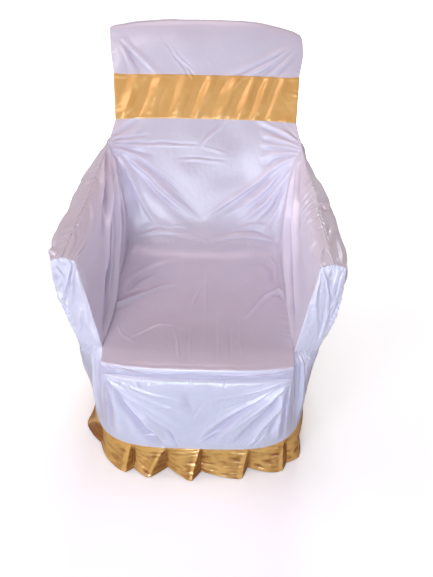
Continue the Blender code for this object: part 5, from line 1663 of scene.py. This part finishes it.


def satin(look):
    """Satin weave: long smooth threads one way, fine ribs the other, slightly uneven, with painted
    shade in its folds and painted highlights on their crests.
    """
    material = bpy.data.materials.new(look.name + "_weave")
    material.use_nodes = True
    tree = material.node_tree
    flat = add_node(tree, "ShaderNodeUVMap", uv_map="flat")["UV"]
    tangent = add_node(tree, "ShaderNodeTangent", direction_type="UV_MAP", uv_map="flat")
    stretched = add_node(tree, "ShaderNodeMapping", {"Vector": flat, "Scale": STREAK})["Vector"]
    noise = {"Vector": stretched, "Scale": 1.0, "Detail": 3.0}
    streaks = add_node(tree, "ShaderNodeTexNoise", noise)["Fac"]
    noise = {"Vector": flat, "Scale": CLOUDS, "Detail": 4.0}
    clouds = add_node(tree, "ShaderNodeTexNoise", noise)["Fac"]

    def mixed(first, share, second):
        inputs = {0: first, 1: share, 2: second}
        return add_node(tree, "ShaderNodeMath", inputs, operation="MULTIPLY_ADD")["Value"]

    dark, light = TONE_RANGE
    weight = mixed(streaks, STREAK_SHARE, clouds)
    colour = ramp(tree, weight, (dark, look.dark), (light, look.colour))

    # painted shade in the troughs of folds and on flat cloth, painted highlight on their crests
    fold = add_node(tree, "ShaderNodeAttribute", attribute_name="fold")["Fac"]
    share = add_node(tree, "ShaderNodeMapRange", {"Value": fold, "From Min": -1.0})["Result"]
    stops = (0.0, look.deep), (1.0, [1.0] * 3), (0.5, [FLAT_FOLD_SHADE] * 3)
    layers = {"Fac": 1.0, "Color1": colour, "Color2": ramp(tree, share, *stops)}
    fold_shaded = add_node(tree, "ShaderNodeMixRGB", layers, blend_type="MULTIPLY")["Color"]

    (low, high), (smoother, rougher) = STREAK_RANGE, STREAK_ROUGH
    span = {"Value": streaks, "From Min": low, "From Max": high}
    span.update({"To Min": look.roughness - smoother, "To Max": look.roughness + rougher})
    rough = add_node(tree, "ShaderNodeMapRange", span)["Result"]

    def threads(direction, spacing, distortion):
        inputs = {"Vector": flat, "Scale": WAVE_PERIOD / spacing, "Distortion": distortion}
        settings = {"bands_direction": direction, "wave_profile": "SIN"}
        return add_node(tree, "ShaderNodeTexWave", inputs, **settings)["Fac"]

    warp, weft = threads("X", THREAD, 0.6), threads("DIAGONAL", WEFT_STEP * THREAD, 1.2)
    height = mixed(streaks, STREAK_HIGH, mixed(weft, WEFT_HIGH, warp))
    bump = {"Strength": 0.15, "Distance": 0.00006, "Height": height}
    feed(tree, tree.nodes["Principled BSDF"], {
        "Base Color": fold_shaded,
        "Roughness": rough,
        "Metallic": look.metal,
        "IOR": look.ior,
        "Specular IOR Level": 0.75,
        "Specular Tint": (*look.tint, 1.0),
        "Anisotropic": 0.45,
        "Tangent": tangent["Tangent"],
        "Sheen Weight": look.sheen,
        "Sheen Roughness": 0.40,
        "Sheen Tint": (*look.tint, 1.0),
        "Normal": add_node(tree, "ShaderNodeBump", bump)["Normal"],
    })
    return material


# ================================================================ stage, lights and camera
FLOOR_SIZE = 14.0
FLOOR_COLOUR = (0.93, 0.93, 0.94, 1.0)
FLOOR_ROUGHNESS = 0.8
FLOOR_GLOW = (0.29, 0.90)       # near the chair and away from it
FLOOR_GLOW_RUN = (0.75, 1.6)    # distance from the middle over which it changes
FLOOR_GLOW_COLOUR = (0.97, 0.98, 1.0, 1.0)
WORLD_COLOUR = (0.90, 0.88, 1.0, 1.0)
WORLD_STRENGTH = 0.125
BACKDROP_COLOUR = (0.80, 0.80, 0.83, 1.0)   # plain pale backdrop beyond the floor
# Large soft lights that face the middle of the chair: place, width, power in watts and colour.
LIGHTS_FACE = (0.0, 0.0, 0.5)
Light = namedtuple("Light", "name place size power colour")
LIGHTS = (
    Light("front_key", (-0.5, -2.5, 0.9), 0.8, 15.0, (0.84, 0.94, 1.0)),
    Light("low_left", (-1.3, -1.6, 0.2), 0.6, 8.0, (0.78, 0.84, 1.0)),
    Light("low_middle", (0.0, -1.9, 0.12), 0.7, 15.0, (0.72, 0.82, 1.0)),
    Light("low_right", (1.3, -1.6, 0.2), 0.6, 5.0, (0.80, 0.80, 1.0)),
    Light("high_left", (-1.2, -1.6, 2.2), 0.8, 12.0, (1.0, 0.82, 0.86)),
    Light("top_fill", (-0.2, 0.2, 2.8), 1.4, 13.0, (1.0, 0.74, 0.76)),
    Light("left_side", (-2.5, 0.1, 1.3), 1.0, 19.0, (1.0, 0.82, 0.72)),
    Light("right_side", (2.5, 0.1, 1.3), 1.0, 17.0, (1.0, 0.76, 0.72)),
    Light("rear_fill", (0.3, 2.6, 1.6), 1.4, 50.0, (0.91, 1.0, 0.93)),
)
CAMERA_PLACE = (0.0466, -0.9926, 1.3731)
CAMERA_YAW = 0.667      # degrees
CAMERA_TILT = 45.03
CAMERA_ROLL = 0.988
CAMERA_LENS = 34.24     # millimetres


def make_floor():
    """A pale floor that glows more away from the chair."""
    half = FLOOR_SIZE / 2
    mesh = bpy.data.meshes.new("floor")
    corners = [(-half, -half, 0.0), (half, -half, 0.0), (half, half, 0.0), (-half, half, 0.0)]
    mesh.from_pydata(corners, [], [(0, 1, 2, 3)])
    material = bpy.data.materials.new("floor")
    material.use_nodes = True
    tree = material.node_tree
    place = add_node(tree, "ShaderNodeNewGeometry")["Position"]
    far = add_node(tree, "ShaderNodeVectorMath", {0: place}, operation="LENGTH")["Value"]
    (near, away), (dim, bright) = FLOOR_GLOW_RUN, FLOOR_GLOW
    span = {"Value": far, "From Min": near, "From Max": away, "To Min": dim, "To Max": bright}
    glow = add_node(tree, "ShaderNodeMapRange", span, interpolation_type="SMOOTHSTEP")
    feed(tree, tree.nodes["Principled BSDF"], {
        "Base Color": FLOOR_COLOUR,
        "Roughness": FLOOR_ROUGHNESS,
        "Emission Color": FLOOR_GLOW_COLOUR,
        "Emission Strength": glow["Result"],
    })
    mesh.materials.append(material)
    floor = bpy.data.objects.new("floor", mesh)
    floor.visible_diffuse = False
    floor.visible_glossy = False
    bpy.context.scene.collection.objects.link(floor)


def make_lights():
    """The lights of the table, each turned to face the chair."""
    for light in LIGHTS:
        data = bpy.data.lights.new(light.name, "AREA")
        data.shape = "DISK"
        data.size = light.size
        data.energy = light.power
        data.color = light.colour
        lamp = bpy.data.objects.new(light.name, data)
        lamp.location = light.place
        aim = Vector(LIGHTS_FACE) - Vector(light.place)
        lamp.rotation_euler = aim.to_track_quat("-Z", "Y").to_euler()
        bpy.context.scene.collection.objects.link(lamp)


def make_world():
    """A faint even light from all sides, and a plain backdrop where the camera sees past it."""
    world = bpy.data.worlds.new("studio")
    world.use_nodes = True
    tree = world.node_tree
    lighting = tree.nodes["Background"]
    feed(tree, lighting, {"Color": WORLD_COLOUR, "Strength": WORLD_STRENGTH})
    backdrop = add_node(tree, "ShaderNodeBackground", {"Color": BACKDROP_COLOUR})[0]
    seen = add_node(tree, "ShaderNodeLightPath")["Is Camera Ray"]
    mix = add_node(tree, "ShaderNodeMixShader", {0: seen, 1: lighting.outputs[0], 2: backdrop})[0]
    feed(tree, tree.nodes["World Output"], {"Surface": mix})
    bpy.context.scene.world = world


def make_camera():
    """Looks down at the chair from in front, as the photo does."""
    data = bpy.data.cameras.new("view")
    data.lens = CAMERA_LENS
    camera = bpy.data.objects.new("view", data)
    turn = (
        Matrix.Rotation(np.radians(CAMERA_YAW), 4, "Z")
        @ Matrix.Rotation(np.radians(CAMERA_TILT), 4, "X")
        @ Matrix.Rotation(np.radians(CAMERA_ROLL), 4, "Z")
    )
    camera.matrix_world = Matrix.Translation(CAMERA_PLACE) @ turn
    bpy.context.scene.collection.objects.link(camera)
    bpy.context.scene.camera = camera


def main():
    """The stage, and then every piece of the cover."""
    make_camera()
    make_lights()
    make_world()
    make_floor()
    bpy.context.scene.view_settings.view_transform = "Standard"
    white, gold = satin(WHITE), satin(GOLD)
    sheets = white_panels()
    back, outward, _ = sheets["inside_back"]
    make_band(back, outward, gold)
    make_white_panels(sheets, white)
    make_frills(gold)


main()
